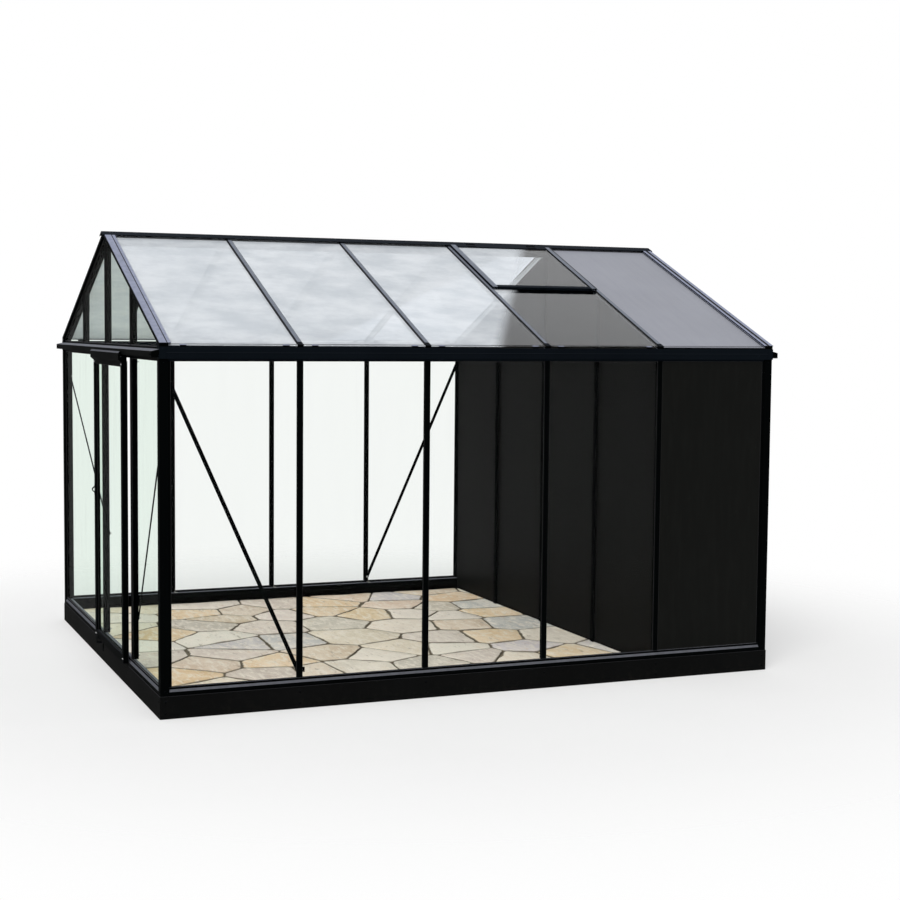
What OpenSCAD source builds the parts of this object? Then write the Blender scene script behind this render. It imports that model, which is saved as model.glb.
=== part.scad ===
// Glass greenhouse with a closed store bay, built from extruded bars.
// X runs along the ridge, the door gable faces -X, the front wall -Y, and Z is up from the ground.

/* [Overall] */
// Length over the corner posts, along the ridge
frame_l = 3700; // [3000:10:6000]
// Width over the corner posts, across the gable
frame_w = 3100; // [2700:10:4200]
// Height of the gutter's underside above the ground
gutter_z = 1880; // [1600:10:2400]
// Slope of the roof in degrees
roof_pitch = 22.5; // [15:0.5:32]
// Bays along each long wall, the closed store bay included
long_bays = 5; // [3:1:7]
// Bays across each gable
gable_bays = 4; // [3:1:6]

/* [Base and floor] */
// Height of the base rail
base_h = 120; // [80:1:200]
// Depth of the base rail's flanges
base_d = 45; // [36:1:80]
// How far the base rail stands out past the posts
base_proud = 3; // [0:0.5:5]
// Height of the stone floor inside the base
floor_h = 78; // [40:1:100]

/* [Bar profiles] */
// Side of the corner post's tube, and depth of every glazing bar
post_size = 48; // [44:1:60]
// Depth of the verges' box
verge_d = 22; // [21:1:30]
// Width of a glazing bar's cap and flange
bar_w = 30; // [26:1:40]
// Length of the fins that cover a pane's edge
fin_l = 12; // [10:0.5:16]
// Thickness of the fins, caps and flanges
fin_t = 3; // [2:0.1:3.5]
// Thickness of the walls of tubes and channels
wall_t = 3; // [2:0.1:4]
// How far a cap lies back from the posts' outer face
cap_recess = 9; // [5:0.5:12]
// Width of the neck between two panes
neck_w = 6; // [4:0.5:8]
// Thickness of a bar's inner web
web_t = 4; // [2.5:0.5:6]
// Width of the bolt channel at a bar's inner edge
channel_w = 16; // [13:0.5:20]
// Depth of the bolt channel
channel_d = 10; // [8:0.5:12]
// Width of the bolt channel's slot
slot_w = 6; // [4:0.5:7]

/* [Glass and panels] */
// Thickness of the panes and closed panels
glass_t = 4; // [3:0.5:6]
// Gap between a pane's edge and the metal beside it
glass_edge = 2; // [1:0.5:4]

/* [Sill, gutter and ridge] */
// Height of the sill's upright face
sill_face_h = 22; // [15:1:30]
// Height of the sill's sloped weathering
sill_slope_h = 12; // [8:1:16]
// Height of the gutter's outer wall
gutter_h = 62; // [56:1:80]
// How far the gutter stands out past the posts
gutter_proud = 8; // [4:1:20]
// Inner face of the gutter, measured in from the posts' outer face
gutter_in = 52; // [50:1:70]
// Inner side of the rain trough, measured in from the posts' outer face
trough_in = 26; // [22:1:34]
// Height of the rain trough's floor above the gutter's underside
trough_z = 26; // [12:1:28]
// Height of the roof's glass plane over the gutter's outer lip
roof_lift = 6; // [4:0.5:14]
// Length of the fins under the gutter and the transom
head_fin = 10; // [8:0.5:14]
// Reach of the ridge cap down each slope
ridge_wing = 52; // [44:1:80]
// How far the ridge cap runs past each gable
ridge_over = 8; // [0:1:20]
// Depth of the ridge bar below the glass planes' meeting line
ridge_keel = 66; // [58:1:90]
// Width of the ridge bar's keel
keel_w = 24; // [18:1:40]
// Height of the gable transom's box
transom_h = 50; // [44:1:56]

/* [Sliding door] */
// Width of the door leaf
leaf_w = 890; // [700:5:1000]
// Thickness of the door leaf
leaf_t = 28; // [24:1:36]
// Width of the leaf's stiles
stile_w = 45; // [38:1:70]
// Height of the leaf's head rail
rail_h = 60; // [40:1:90]
// Height of the leaf's foot rail
foot_rail_h = 46; // [36:1:90]
// Gap between the leaf and the gable's face
leaf_gap = 6; // [6:0.5:10]
// Gap between the leaf's foot and the top of the base
leaf_foot_gap = 20; // [8:1:30]
// Gap between the leaf's head and the track
leaf_head_gap = 8; // [6:0.5:15]
// How far the leaf stands short of the near jamb as it is drawn
leaf_ajar = 9; // [0:1:30]
// Travel that closes the leaf over the near jamb
door_close = 40; // [30:1:60]
// Travel that opens the leaf towards the far corner
door_open = 780; // [500:5:800]
// Lap of the closed leaf on the far jamb
jamb_lap = 24; // [15:1:40]
// Height of the track that also runs across the closed gable as a ledge
track_h = 32; // [30:1:40]
// Height of the track's underside above the gutter's underside
track_z = 8; // [4:1:12]
// Width of the slot in the track's underside
track_slot = 8; // [7:0.5:10]
// Radius of a track roller
roller_r = 9; // [6:0.5:10]
// Width of a track roller
roller_w = 8; // [5:0.5:9]
// Distance between the leaf's two hangers
hanger_span = 620; // [300:5:700]
// Height of the pull handle above the ground
handle_z = 1050; // [900:5:1200]
// Height of the pull handle
handle_h = 40; // [36:1:160]

/* [Roof vent] */
// Length of the roof vent down the slope
vent_l = 745; // [500:5:900]
// Width of the vent's frame bars
vent_bar_w = 34; // [28:1:50]
// Thickness of the vent's frame bars
vent_bar_t = 16; // [12:1:24]
// Lap of the vent's frame on the rafters' caps
vent_lap = 6; // [4:0.5:10]

/* [Store partition] */
// Thickness of the partition's panels
partition_t = 8; // [4:1:20]
// Width and depth of the partition's posts
partition_post = 36; // [24:1:60]

/* [Braces] */
// Width of a wind brace
brace_w = 22; // [16:1:40]
// Thickness of a wind brace and of a gusset
brace_t = 3; // [2:0.5:4]
// Length of a gusset's legs
gusset_l = 110; // [70:5:160]
// Height of the near gable brace's foot above the ground
gable_brace_near = 400; // [200:10:900]
// Height of the far gable brace's foot above the ground
gable_brace_far = 780; // [200:10:1200]

/* [Hidden] */
// Gap between pieces that are fitted next to each other
fit_gap = 0.3;
// Play of a pane between the fins that hold it
glass_play = 0.3;
// Overrun of cutting shapes
cut_over = 50;
// Facets of round pieces
round_fn = 48;
// Lip of the bolt channel
channel_lip = 2;
// Start of the rafters and of the roof panes, measured in from the posts' outer face
rafter_start = 8;
pane_start = 2;
// Distance of the rafters' and the roof panes' heads from the ridge line, along the slope
rafter_head_gap = 20;
pane_head_gap = 14;
// Ridge bar's web
ridge_web = 8;
// Groove in the door leaf's and the vent's frames
groove_d = 12;
vent_groove_d = 10;
// Cross bar under the foot of the vent
cross_flange = 40;
cross_lap = 30;
vent_gap = 2;
// Hanger plates of the door
hanger_w = 34;
hanger_t = 3;
hanger_rise = 7;
// Roller axle
axle_r = 3;
// Guide bracket under the door
guide_w = 50;
guide_t = 3;
guide_gap = 5.5;
guide_drop = 60;
guide_lip = 15;
guide_step = 5;
// How far the guide stays inside the closed leaf's far edge
guide_in = 10;
// Strap of the pull handle
strap_w = 16;
strap_t = 4;
strap_out = 18;
strap_foot = 13;
// Drip bar on the leaf's head, in front of the track
drip_t = 8;
drip_gap = 5.5;
drip_drop = 36;
drip_step = 4;
drip_rise = 26;
drip_slope = 10;
// Ends of the wind braces
brace_top_drop = 45;
gable_brace_drop = 180;
brace_foot_rise = 35;
// Lap of a gusset on the verge
gusset_lap = 16;

// Places across a bar's depth, measured in from the posts' outer face
cap_in = cap_recess + fin_t;
glass_out = cap_in + glass_play;
glass_in = glass_out + glass_t;
flange_in = glass_in + fin_t;
bar_in = post_size - glass_in;
verge_in = verge_d - glass_in;
// Bays
corner_face = post_size + fin_l;
bay_pitch = (frame_l - corner_face) / long_bays;
gable_pitch = (frame_w - corner_face) / gable_bays;
store_bay = long_bays - 1;
vent_bay = long_bays - 2;
partition_x = line_x(store_bay);
// Heights
rebate_h = sill_face_h + sill_slope_h;
sill_h = rebate_h + fin_l;
pane_z0 = base_h + rebate_h + glass_edge;
pane_z1 = gutter_z - glass_edge;
bar_z0 = base_h + sill_h;
bar_z1 = gutter_z - head_fin;
transom_top = gutter_z + transom_h + fin_l;
// Roof
half_w = frame_w / 2;
eave_z = gutter_z + gutter_h + roof_lift;
ridge_z = eave_z + half_w * tan(roof_pitch);
slope_l = half_w / cos(roof_pitch);
rafter_s0 = rafter_start / cos(roof_pitch);
rafter_s1 = slope_l - rafter_head_gap;
pane_s0 = pane_start / cos(roof_pitch);
pane_s1 = slope_l - pane_head_gap;
keel_z = ridge_z - ridge_keel;
// Start of the transom's upper fins, where the verges' underside clears them
fin_start = max(gutter_in, (transom_top - eave_z + verge_in / cos(roof_pitch)) / tan(roof_pitch))
    + fit_gap;
wing_n = glass_in + fit_gap;
// Door, with places along the gable measured from its middle towards the front
track_w = 2 * leaf_gap + leaf_t;
jamb_near = gable_pitch * (gable_bays / 2 - 1);
leaf_near = jamb_near - bar_w / 2 - leaf_ajar;
leaf_far = leaf_near - leaf_w;
jamb_far = leaf_far + door_close + jamb_lap - bar_w / 2;
leaf_z0 = base_h + leaf_foot_gap;
leaf_z1 = gutter_z + track_z - leaf_head_gap;
leaf_h = leaf_z1 - leaf_z0;
leaf_out = leaf_gap + leaf_t;
guide_u = leaf_far + door_close + guide_in + guide_w / 2;
axle_z = gutter_z + track_z + wall_t + fit_gap + roller_r;
roller_off = (track_w / 2 - wall_t + track_slot / 2) / 2;
// Vent
vent_x0 = line_x(vent_bay) + bar_w / 2 - vent_lap;
vent_x1 = line_x(store_bay) - bar_w / 2 + vent_lap;
vent_s1 = slope_l - ridge_wing - vent_gap;
vent_s0 = vent_s1 - vent_l;
vent_n = glass_in - cap_recess + fit_gap;
cross_s = vent_s0 + cross_lap;

frame_color = [0.06, 0.06, 0.07];
glass_color = [0.75, 0.85, 0.82, 0.35];
panel_color = [0.08, 0.08, 0.09];
roof_panel_color = [0.5, 0.51, 0.55];
stone_color = [0.62, 0.57, 0.5];

// Line of a long wall's bar, counted from the door gable
function line_x(i) = -(frame_l - corner_face) / 2 + i * bay_pitch;

// Line of a gable's bar, counted from the back
function line_u(i) = -(frame_w - corner_face) / 2 + i * gable_pitch;

// Sides of the pane in a long wall's bay
function pane_x0(i) =
    i == 0 ? -frame_l / 2 + post_size + glass_edge : line_x(i) + neck_w / 2 + glass_edge;
function pane_x1(i) =
    i == store_bay ? frame_l / 2 - post_size - glass_edge : line_x(i + 1) - neck_w / 2 - glass_edge;

// Height of the rafters' underside over the gutter's underside, at a distance in from the posts' face
function shelf_z(v) = gutter_h + roof_lift + v * tan(roof_pitch) - bar_in / cos(roof_pitch);

// Height of a gutter's closed end over its underside, just under the verge's box
function end_z(v) =
    gutter_h + roof_lift + v * tan(roof_pitch) - (verge_in + fit_gap) / cos(roof_pitch);

// Height of the rafters' underside at a distance from the ridge line
function underside_z(u) = ridge_z - u * tan(roof_pitch) - bar_in / cos(roof_pitch);

// Height of a plane under the back slope's glass plane, from the ridge line
function below_ridge(y, n) = -n / cos(roof_pitch) - y * tan(roof_pitch);

// Point at a distance down the back slope and out from its glass plane, from the ridge line
function slope_point(t, n) =
    [t * cos(roof_pitch) + n * sin(roof_pitch), n * cos(roof_pitch) - t * sin(roof_pitch)];

// An outline's points followed by their mirror image
function both_sides(half) =
    concat(half, [for (i = [len(half) - 1:-1:0]) [-half[i][0], half[i][1]]]);

// Places of the walls and slopes: x along the wall, y into the building, z up or out
module on_front() translate([0, -half_w, 0]) children();
module on_back() mirror([0, 1, 0]) on_front() children();
module on_door_end() translate([-frame_l / 2, 0, 0]) rotate([0, 0, -90]) children();
module on_store_end() mirror([1, 0, 0]) on_door_end() children();
module on_front_roof() translate([0, -half_w, eave_z]) rotate([roof_pitch, 0, 0]) children();
module on_back_roof() mirror([0, 1, 0]) on_front_roof() children();

// A section of depth and height, run along a wall about its middle
module run_along(length)
    translate([-length / 2, 0, 0]) rotate([90, 0, 90]) linear_extrude(length) children();

// A section of width and depth, run up a slope
module run_up(x, s0, s1)
    translate([x, s0, glass_in]) rotate([-90, 0, 0]) linear_extrude(s1 - s0) children();

// The space under both roof slopes, set off from their glass planes
module under_roof(n)
    run_along(frame_l + 2 * cut_over)
        polygon([[-half_w, 0], [half_w, 0], [half_w, eave_z + n / cos(roof_pitch)],
            [0, ridge_z + n / cos(roof_pitch)], [-half_w, eave_z + n / cos(roof_pitch)]]);

// Section of a glazing bar: cap, neck between the panes, flange, web and bolt channel
module glazing_bar_2d() {
    channel_v = post_size - channel_d;
    polygon(both_sides([
        [bar_w / 2, cap_recess], [bar_w / 2, cap_in], [neck_w / 2, cap_in],
        [neck_w / 2, glass_in], [bar_w / 2, glass_in], [bar_w / 2, flange_in],
        [web_t / 2, flange_in], [web_t / 2, channel_v], [channel_w / 2, channel_v],
        [channel_w / 2, post_size], [slot_w / 2, post_size],
        [slot_w / 2, post_size - channel_lip],
        [channel_w / 2 - channel_lip, post_size - channel_lip],
        [channel_w / 2 - channel_lip, channel_v + channel_lip]]));
}

// Section of the tube in a corner post
module tube_2d()
    difference() {
        square(post_size);
        translate([wall_t, wall_t]) square(post_size - 2 * wall_t);
    }

// Section of a verge: a box, and a leg on its inner side that stands on the gutter's shelf
module verge_2d() {
    difference() {
        square([post_size, verge_d]);
        translate([wall_t, wall_t]) square([post_size - 2 * wall_t, verge_d - 2 * wall_t]);
    }
    translate([post_size - wall_t, verge_d - wall_t])
        square([wall_t, post_size - verge_d + wall_t]);
}

// Section of the two fins that hold a gable's pane under a verge
module verge_fins_2d()
    for (v = [cap_recess, glass_in])
        translate([v, verge_d - wall_t]) square([fin_t, wall_t + fin_l]);

// Section of the two fins that hold a pane beside a tube
module side_fins_2d()
    for (v = [cap_recess, glass_in])
        translate([post_size - wall_t, v]) square([wall_t + fin_l, fin_t]);

// Section of two fins that hold a pane's edge over or under a rail
module rail_fins_2d(z0, z1)
    for (v = [cap_recess, glass_in]) translate([v, z0]) square([fin_t, z1 - z0]);

// Section of the base rail, a channel open to the inside
module base_2d() {
    back = base_d - base_proud;
    polygon([[-base_proud, 0], [back, 0], [back, wall_t], [wall_t - base_proud, wall_t],
        [wall_t - base_proud, base_h - wall_t], [back, base_h - wall_t], [back, base_h],
        [-base_proud, base_h]]);
}

// A base rail with mitred ends
module base_rail(length) {
    out = length / 2 + base_proud;
    intersection() {
        run_along(2 * out) base_2d();
        linear_extrude(base_h)
            polygon([[-out, -base_proud], [out, -base_proud], [out - base_d, base_d - base_proud],
                [base_d - out, base_d - base_proud]]);
    }
}

// Section of the sill: upright face, weathering, rebate for the panes and a hollow body
module sill_2d()
    difference() {
        polygon([[0, 0], [0, sill_face_h], [cap_recess, rebate_h], [cap_recess, sill_h],
            [cap_in, sill_h], [cap_in, rebate_h], [glass_in, rebate_h], [glass_in, sill_h],
            [flange_in, sill_h], [flange_in, rebate_h], [post_size, rebate_h], [post_size, 0]]);
        translate([cap_recess, wall_t])
            square([post_size - cap_recess - wall_t, rebate_h - 2 * wall_t]);
    }

// Outline of the gutter: outer wall, rain trough and the sloped shelf that carries the rafters
module gutter_outline_2d()
    polygon([[-gutter_proud, 0], [gutter_in, 0], [gutter_in, shelf_z(gutter_in)],
        [trough_in, shelf_z(trough_in)], [trough_in, trough_z], [wall_t - gutter_proud, trough_z],
        [wall_t - gutter_proud, gutter_h], [-gutter_proud, gutter_h]]);

// Outline of the gutter's closed end
module gutter_end_2d() {
    lip = wall_t - gutter_proud;
    polygon([[-gutter_proud, 0], [gutter_in, 0], [gutter_in, end_z(gutter_in)], [lip, end_z(lip)],
        [lip, gutter_h], [-gutter_proud, gutter_h]]);
}

// Hollow of the gutter under its trough and shelf
module gutter_hollow_2d() {
    drop = wall_t / cos(roof_pitch);
    polygon([[wall_t - gutter_proud, wall_t], [gutter_in - wall_t, wall_t],
        [gutter_in - wall_t, shelf_z(gutter_in - wall_t) - drop],
        [trough_in + wall_t, shelf_z(trough_in + wall_t) - drop],
        [trough_in + wall_t, trough_z - wall_t], [wall_t - gutter_proud, trough_z - wall_t]]);
}

// A gutter with closed ends and fins for the wall panes
module gutter()
    translate([0, 0, gutter_z]) {
        run_along(frame_l)
            difference() {
                gutter_outline_2d();
                gutter_hollow_2d();
            }
        for (end = [-1, 1])
            translate([end * (frame_l - wall_t) / 2, 0, 0]) run_along(wall_t) gutter_end_2d();
        run_along(frame_l - 2 * post_size) rail_fins_2d(-head_fin, wall_t);
    }

// Section of the track under which the door hangs, its top sloped as a ledge
module track_2d() {
    lip = (track_w - track_slot) / 2;
    top = track_z + track_h;
    polygon([[-track_w, top - wall_t], [0, transom_h - wall_t], [0, transom_h], [-track_w, top]]);
    translate([-track_w, track_z]) square([wall_t, track_h]);
    translate([-track_w, track_z]) square([lip, wall_t]);
    translate([-lip, track_z]) square([lip, wall_t]);
}

// Section of the transom with its track
module transom_2d() {
    track_2d();
    difference() {
        square([post_size, transom_h]);
        translate([wall_t, wall_t]) square([post_size - 2 * wall_t, transom_h - 2 * wall_t]);
    }
}

// A gable transom between the gutters, its track across the whole gable
module transom()
    translate([0, 0, gutter_z]) {
        run_along(frame_w - 2 * (gutter_in + fit_gap)) transom_2d();
        run_along(frame_w) track_2d();
        for (end = [-1, 1])
            translate([end * (frame_w - wall_t) / 2, 0, 0]) run_along(wall_t)
                polygon([[-track_w, track_z], [0, track_z], [0, transom_h],
                    [-track_w, track_z + track_h]]);
        run_along(frame_w - 2 * (gutter_in + fit_gap)) rail_fins_2d(-head_fin, wall_t);
        run_along(frame_w - 2 * fin_start) rail_fins_2d(transom_h - wall_t, transom_h + fin_l);
    }

// Outline of the ridge bar's keel or of its hollow, its top set off from the glass planes
module keel_2d(side, z0, n)
    polygon(both_sides([[0, below_ridge(0, n)], [side, below_ridge(side, n)], [side, z0], [0, z0]]));

// A verge bar of the front slope at the door gable, from the gutter's trough to the ridge line
module verge() {
    foot_y = wall_t - gutter_proud + fit_gap - half_w;
    intersection() {
        union() {
            on_front_roof() run_up(-frame_l / 2, -cut_over, slope_l + cut_over) verge_2d();
            intersection() {
                on_front_roof() run_up(-frame_l / 2, -cut_over, slope_l) square([post_size, verge_d]);
                translate([-frame_l / 2, foot_y, gutter_z])
                    cube([post_size, wall_t, post_size + gutter_h]);
            }
            on_front_roof() run_up(-frame_l / 2, rafter_s0, rafter_s1) side_fins_2d();
            intersection() {
                on_front_roof() run_up(-frame_l / 2, 0, slope_l + cut_over) verge_fins_2d();
                translate([-frame_l / 2, gutter_in + fit_gap - half_w, transom_top])
                    cube([corner_face, half_w, ridge_z]);
            }
        }
        translate([-frame_l / 2, foot_y, 0])
            cube([corner_face, -fit_gap / 2 - foot_y, ridge_z + post_size]);
    }
}

// The two verges of the door gable
module verge_pair() {
    verge();
    mirror([0, 1, 0]) verge();
}

// A section run up all of a gable's upright lines, from the transom's fins to the ridge
module gable_uprights()
    on_door_end()
        for (i = [1:gable_bays - 1])
            translate([line_u(i), 0, transom_top]) linear_extrude(ridge_z - transom_top) children();

// A gable's upright bars between the transom and the verges, cut back behind the verges' legs
module mullions()
    union() {
        intersection() {
            gable_uprights() glazing_bar_2d();
            under_roof(-bar_in - fit_gap);
        }
        intersection() {
            gable_uprights() intersection() {
                glazing_bar_2d();
                translate([-bar_w, 0]) square([2 * bar_w, post_size - wall_t - fit_gap]);
            }
            under_roof(-verge_in - fin_l);
        }
    }

// A gable's upper panes
module gable_top_panes() {
    side = half_w - gutter_in - glass_edge;
    inset = neck_w / 2 + glass_edge;
    z0 = gutter_z + transom_h + glass_edge;
    intersection() {
        on_door_end()
            for (i = [0:gable_bays - 1]) {
                u0 = i == 0 ? -side : line_u(i) + inset;
                u1 = i == gable_bays - 1 ? side : line_u(i + 1) - inset;
                translate([u0, glass_out, z0]) cube([u1 - u0, glass_t, ridge_z - z0]);
            }
        under_roof(-verge_in - glass_edge);
    }
}

// An upright glazing bar of a wall
module wall_bar(x) translate([x, 0, bar_z0]) linear_extrude(bar_z1 - bar_z0) glazing_bar_2d();

// A wall pane between two places along the wall
module wall_pane(x0, x1)
    translate([x0, glass_out, pane_z0]) cube([x1 - x0, glass_t, pane_z1 - pane_z0]);

// A roof pane in a bay, up to a place on the slope
module roof_pane(bay, s1)
    translate([pane_x0(bay), pane_s0, 0]) cube([pane_x1(bay) - pane_x0(bay), s1 - pane_s0, glass_t]);

// A flat brace on the inner face of a wall's bars, with round ends
module brace(x0, z0, x1, z1) {
    length = norm([x1 - x0, z1 - z0]);
    translate([x0, post_size, z0]) rotate([0, -atan2(z1 - z0, x1 - x0), 0]) {
        translate([0, 0, -brace_w / 2]) cube([length, brace_t, brace_w]);
        for (x = [0, length])
            translate([x, 0, 0]) rotate([-90, 0, 0]) cylinder(h = brace_t, d = brace_w, $fn = round_fn);
    }
}

// Section of a frame bar with a groove for its pane in one edge
module grooved_2d(width, thickness, groove) {
    groove_w = glass_t + 2 * glass_play;
    difference() {
        square([width, thickness]);
        translate([width - groove, (thickness - groove_w) / 2]) square([groove + cut_over, groove_w]);
        translate([wall_t, wall_t]) square([width - groove - 2 * wall_t, thickness - 2 * wall_t]);
    }
}

// Place of the door leaf's lower far corner, on its outer face
module on_leaf() on_door_end() translate([leaf_far, -leaf_out, leaf_z0]) children();

module stone_floor() {
    l = frame_l - 2 * (base_d - base_proud + fit_gap);
    w = frame_w - 2 * (base_d - base_proud + fit_gap);
    color(stone_color) translate([-l / 2, -w / 2, 0]) cube([l, w, floor_h]);
}

module base_sides() color(frame_color) {
    on_front() base_rail(frame_l);
    on_back() base_rail(frame_l);
}

module base_ends() color(frame_color) {
    on_door_end() base_rail(frame_w);
    on_store_end() base_rail(frame_w);
}

module sill_sides() color(frame_color) {
    on_front() translate([0, 0, base_h]) run_along(frame_l - 2 * post_size) sill_2d();
    on_back() translate([0, 0, base_h]) run_along(frame_l - 2 * post_size) sill_2d();
}

module sill_ends() color(frame_color) {
    on_door_end() translate([0, 0, base_h]) run_along(frame_w - 2 * post_size) sill_2d();
    on_store_end() translate([0, 0, base_h]) run_along(frame_w - 2 * post_size) sill_2d();
}

module corner_post()
    translate([-frame_l / 2, -half_w, 0]) {
        translate([0, 0, base_h]) linear_extrude(gutter_z - base_h) tube_2d();
        translate([0, 0, bar_z0]) linear_extrude(bar_z1 - bar_z0) {
            side_fins_2d();
            mirror([1, -1]) side_fins_2d();
        }
    }

module corner_posts() color(frame_color)
    for (x = [0, 1], y = [0, 1]) mirror([x, 0, 0]) mirror([0, y, 0]) corner_post();

module front_posts() color(frame_color) on_front() for (i = [1:store_bay]) wall_bar(line_x(i));

module back_posts() color(frame_color) on_back() for (i = [1:store_bay]) wall_bar(line_x(i));

module door_jambs() color(frame_color) on_door_end() {
    wall_bar(jamb_near);
    wall_bar(jamb_far);
}

module store_end_posts() color(frame_color)
    on_store_end() for (i = [1:gable_bays - 1]) wall_bar(line_u(i));

module gutters() color(frame_color) {
    on_front() gutter();
    on_back() gutter();
}

module door_end_transom() color(frame_color) on_door_end() transom();

module store_end_transom() color(frame_color) on_store_end() transom();

module ridge_bar() color(frame_color) translate([0, 0, ridge_z]) {
    wing_top = wing_n + wall_t;
    run_along(frame_l + 2 * ridge_over)
        polygon(both_sides([[0, wing_top / cos(roof_pitch)], slope_point(ridge_wing, wing_top),
            slope_point(ridge_wing, wing_n), [0, wing_n / cos(roof_pitch)]]));
    run_along(frame_l - 2 * (post_size + fit_gap)) {
        polygon(both_sides([[0, -bar_in / cos(roof_pitch)], slope_point(ridge_wing, -bar_in),
            slope_point(ridge_wing, -bar_in - wall_t), [0, -(bar_in + wall_t) / cos(roof_pitch)]]));
        translate([-ridge_web / 2, -ridge_keel]) square([ridge_web, ridge_keel + wing_top]);
        difference() {
            keel_2d(keel_w / 2, -ridge_keel, bar_in + wall_t / 2);
            keel_2d(keel_w / 2 - wall_t, wall_t - ridge_keel, bar_in + 2 * wall_t);
        }
    }
}

module front_rafters() color(frame_color)
    on_front_roof() for (i = [1:store_bay]) run_up(line_x(i), rafter_s0, rafter_s1) glazing_bar_2d();

module back_rafters() color(frame_color)
    on_back_roof() for (i = [1:store_bay]) run_up(line_x(i), rafter_s0, rafter_s1) glazing_bar_2d();

module door_end_verges() color(frame_color) verge_pair();

module store_end_verges() color(frame_color) mirror([1, 0, 0]) verge_pair();

module door_end_mullions() color(frame_color) mullions();

module store_end_mullions() color(frame_color) mirror([1, 0, 0]) mullions();

module front_glass() color(glass_color)
    on_front() for (i = [0:vent_bay]) wall_pane(pane_x0(i), pane_x1(i));

module back_glass() color(glass_color)
    on_back() for (i = [0:vent_bay]) wall_pane(pane_x0(i), pane_x1(i));

module door_end_glass() color(glass_color) on_door_end() {
    inset = neck_w / 2 + glass_edge;
    side = half_w - post_size - glass_edge;
    wall_pane(jamb_near + inset, side);
    wall_pane(-side, jamb_far - inset);
}

module door_end_top_glass() color(glass_color) gable_top_panes();

module front_roof_glass() color(glass_color) on_front_roof() {
    for (i = [0:vent_bay - 1]) roof_pane(i, pane_s1);
    roof_pane(vent_bay, cross_s);
}

module back_roof_glass() color(glass_color)
    on_back_roof() for (i = [0:vent_bay]) roof_pane(i, pane_s1);

module vent_stiles() color(frame_color) on_front_roof() translate([0, vent_s1, vent_n]) {
    translate([vent_x0, 0, 0]) rotate([90, 0, 0]) linear_extrude(vent_l)
        grooved_2d(vent_bar_w, vent_bar_t, vent_groove_d);
    translate([vent_x1, 0, 0]) mirror([1, 0, 0]) rotate([90, 0, 0]) linear_extrude(vent_l)
        grooved_2d(vent_bar_w, vent_bar_t, vent_groove_d);
}

module vent_rails() color(frame_color)
    on_front_roof() translate([(vent_x0 + vent_x1) / 2, 0, vent_n]) {
        length = vent_x1 - vent_x0 - 2 * vent_bar_w;
        translate([0, vent_s0, 0]) run_along(length) grooved_2d(vent_bar_w, vent_bar_t, vent_groove_d);
        translate([0, vent_s1, 0]) mirror([0, 1, 0]) run_along(length)
            grooved_2d(vent_bar_w, vent_bar_t, vent_groove_d);
    }

module vent_glass() color(glass_color) on_front_roof() {
    inset = vent_bar_w - vent_groove_d + glass_edge;
    translate([vent_x0 + inset, vent_s0 + inset, vent_n + (vent_bar_t - glass_t) / 2])
        cube([vent_x1 - vent_x0 - 2 * inset, vent_l - 2 * inset, glass_t]);
}

module vent_cross_bar() color(frame_color) on_front_roof()
    translate([(line_x(vent_bay) + line_x(store_bay)) / 2, cross_s, 0])
        run_along(bay_pitch - bar_w - 2 * fit_gap) {
            translate([-cross_flange / 2, -fin_t]) square([cross_flange, fin_t]);
            translate([-fin_t / 2, -bar_in]) square([fin_t, bar_in]);
        }

module store_wall_panels() color(panel_color) {
    on_front() wall_pane(pane_x0(store_bay), pane_x1(store_bay));
    on_back() wall_pane(pane_x0(store_bay), pane_x1(store_bay));
}

module store_end_panels() color(panel_color) on_store_end() {
    inset = neck_w / 2 + glass_edge;
    side = half_w - post_size - glass_edge;
    for (i = [0:gable_bays - 1])
        wall_pane(i == 0 ? -side : line_u(i) + inset,
            i == gable_bays - 1 ? side : line_u(i + 1) - inset);
}

module store_end_top_panels() color(panel_color) mirror([1, 0, 0]) gable_top_panes();

module store_roof_panels() color(roof_panel_color) {
    on_front_roof() roof_pane(store_bay, pane_s1);
    on_back_roof() roof_pane(store_bay, pane_s1);
}

// The space that the partition fills, from the floor to the rafters and the ridge bar's keel
module partition_space(width, y0, y1)
    intersection() {
        translate([partition_x - width / 2, y0, floor_h])
            cube([width, y1 - y0, keel_z - fit_gap - floor_h]);
        under_roof(-bar_in - fit_gap);
    }

module partition_panels() color(panel_color) {
    side = half_w - gutter_in - fit_gap;
    inset = partition_post / 2 + fit_gap;
    for (i = [0:gable_bays - 1])
        partition_space(partition_t, i == 0 ? -side : line_u(i) + inset,
            i == gable_bays - 1 ? side : line_u(i + 1) - inset);
}

module partition_posts() color(frame_color)
    for (i = [1:gable_bays - 1])
        partition_space(partition_post, line_u(i) - partition_post / 2, line_u(i) + partition_post / 2);

module wind_braces() color(frame_color) {
    top_z = gutter_z - brace_top_drop;
    foot_z = bar_z0 + brace_foot_rise;
    end_x = flange_in + fit_gap + brace_w / 2 - frame_l / 2;
    on_front() brace(end_x, top_z, line_x(1), foot_z);
    on_back() brace(line_x(vent_bay), foot_z, line_x(store_bay), top_z);
    end_u = half_w - flange_in - fit_gap - brace_w / 2;
    on_door_end() {
        brace(jamb_near, gable_brace_near, end_u, gutter_z - gable_brace_drop);
        brace(-end_u, gutter_z - gable_brace_drop, jamb_far, gable_brace_far);
    }
}

module gusset_plates() color(frame_color)
    for (end = [0, 1], side = [0, 1]) mirror([end, 0, 0]) mirror([0, side, 0])
        on_door_end() translate([0, post_size + brace_t, 0]) rotate([90, 0, 0]) linear_extrude(brace_t) {
            u = line_u(gable_bays - 1);
            polygon([[u, underside_z(u) + gusset_lap],
                [u + gusset_l, underside_z(u + gusset_l) + gusset_lap], [u, underside_z(u) - gusset_l]]);
        }

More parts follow.
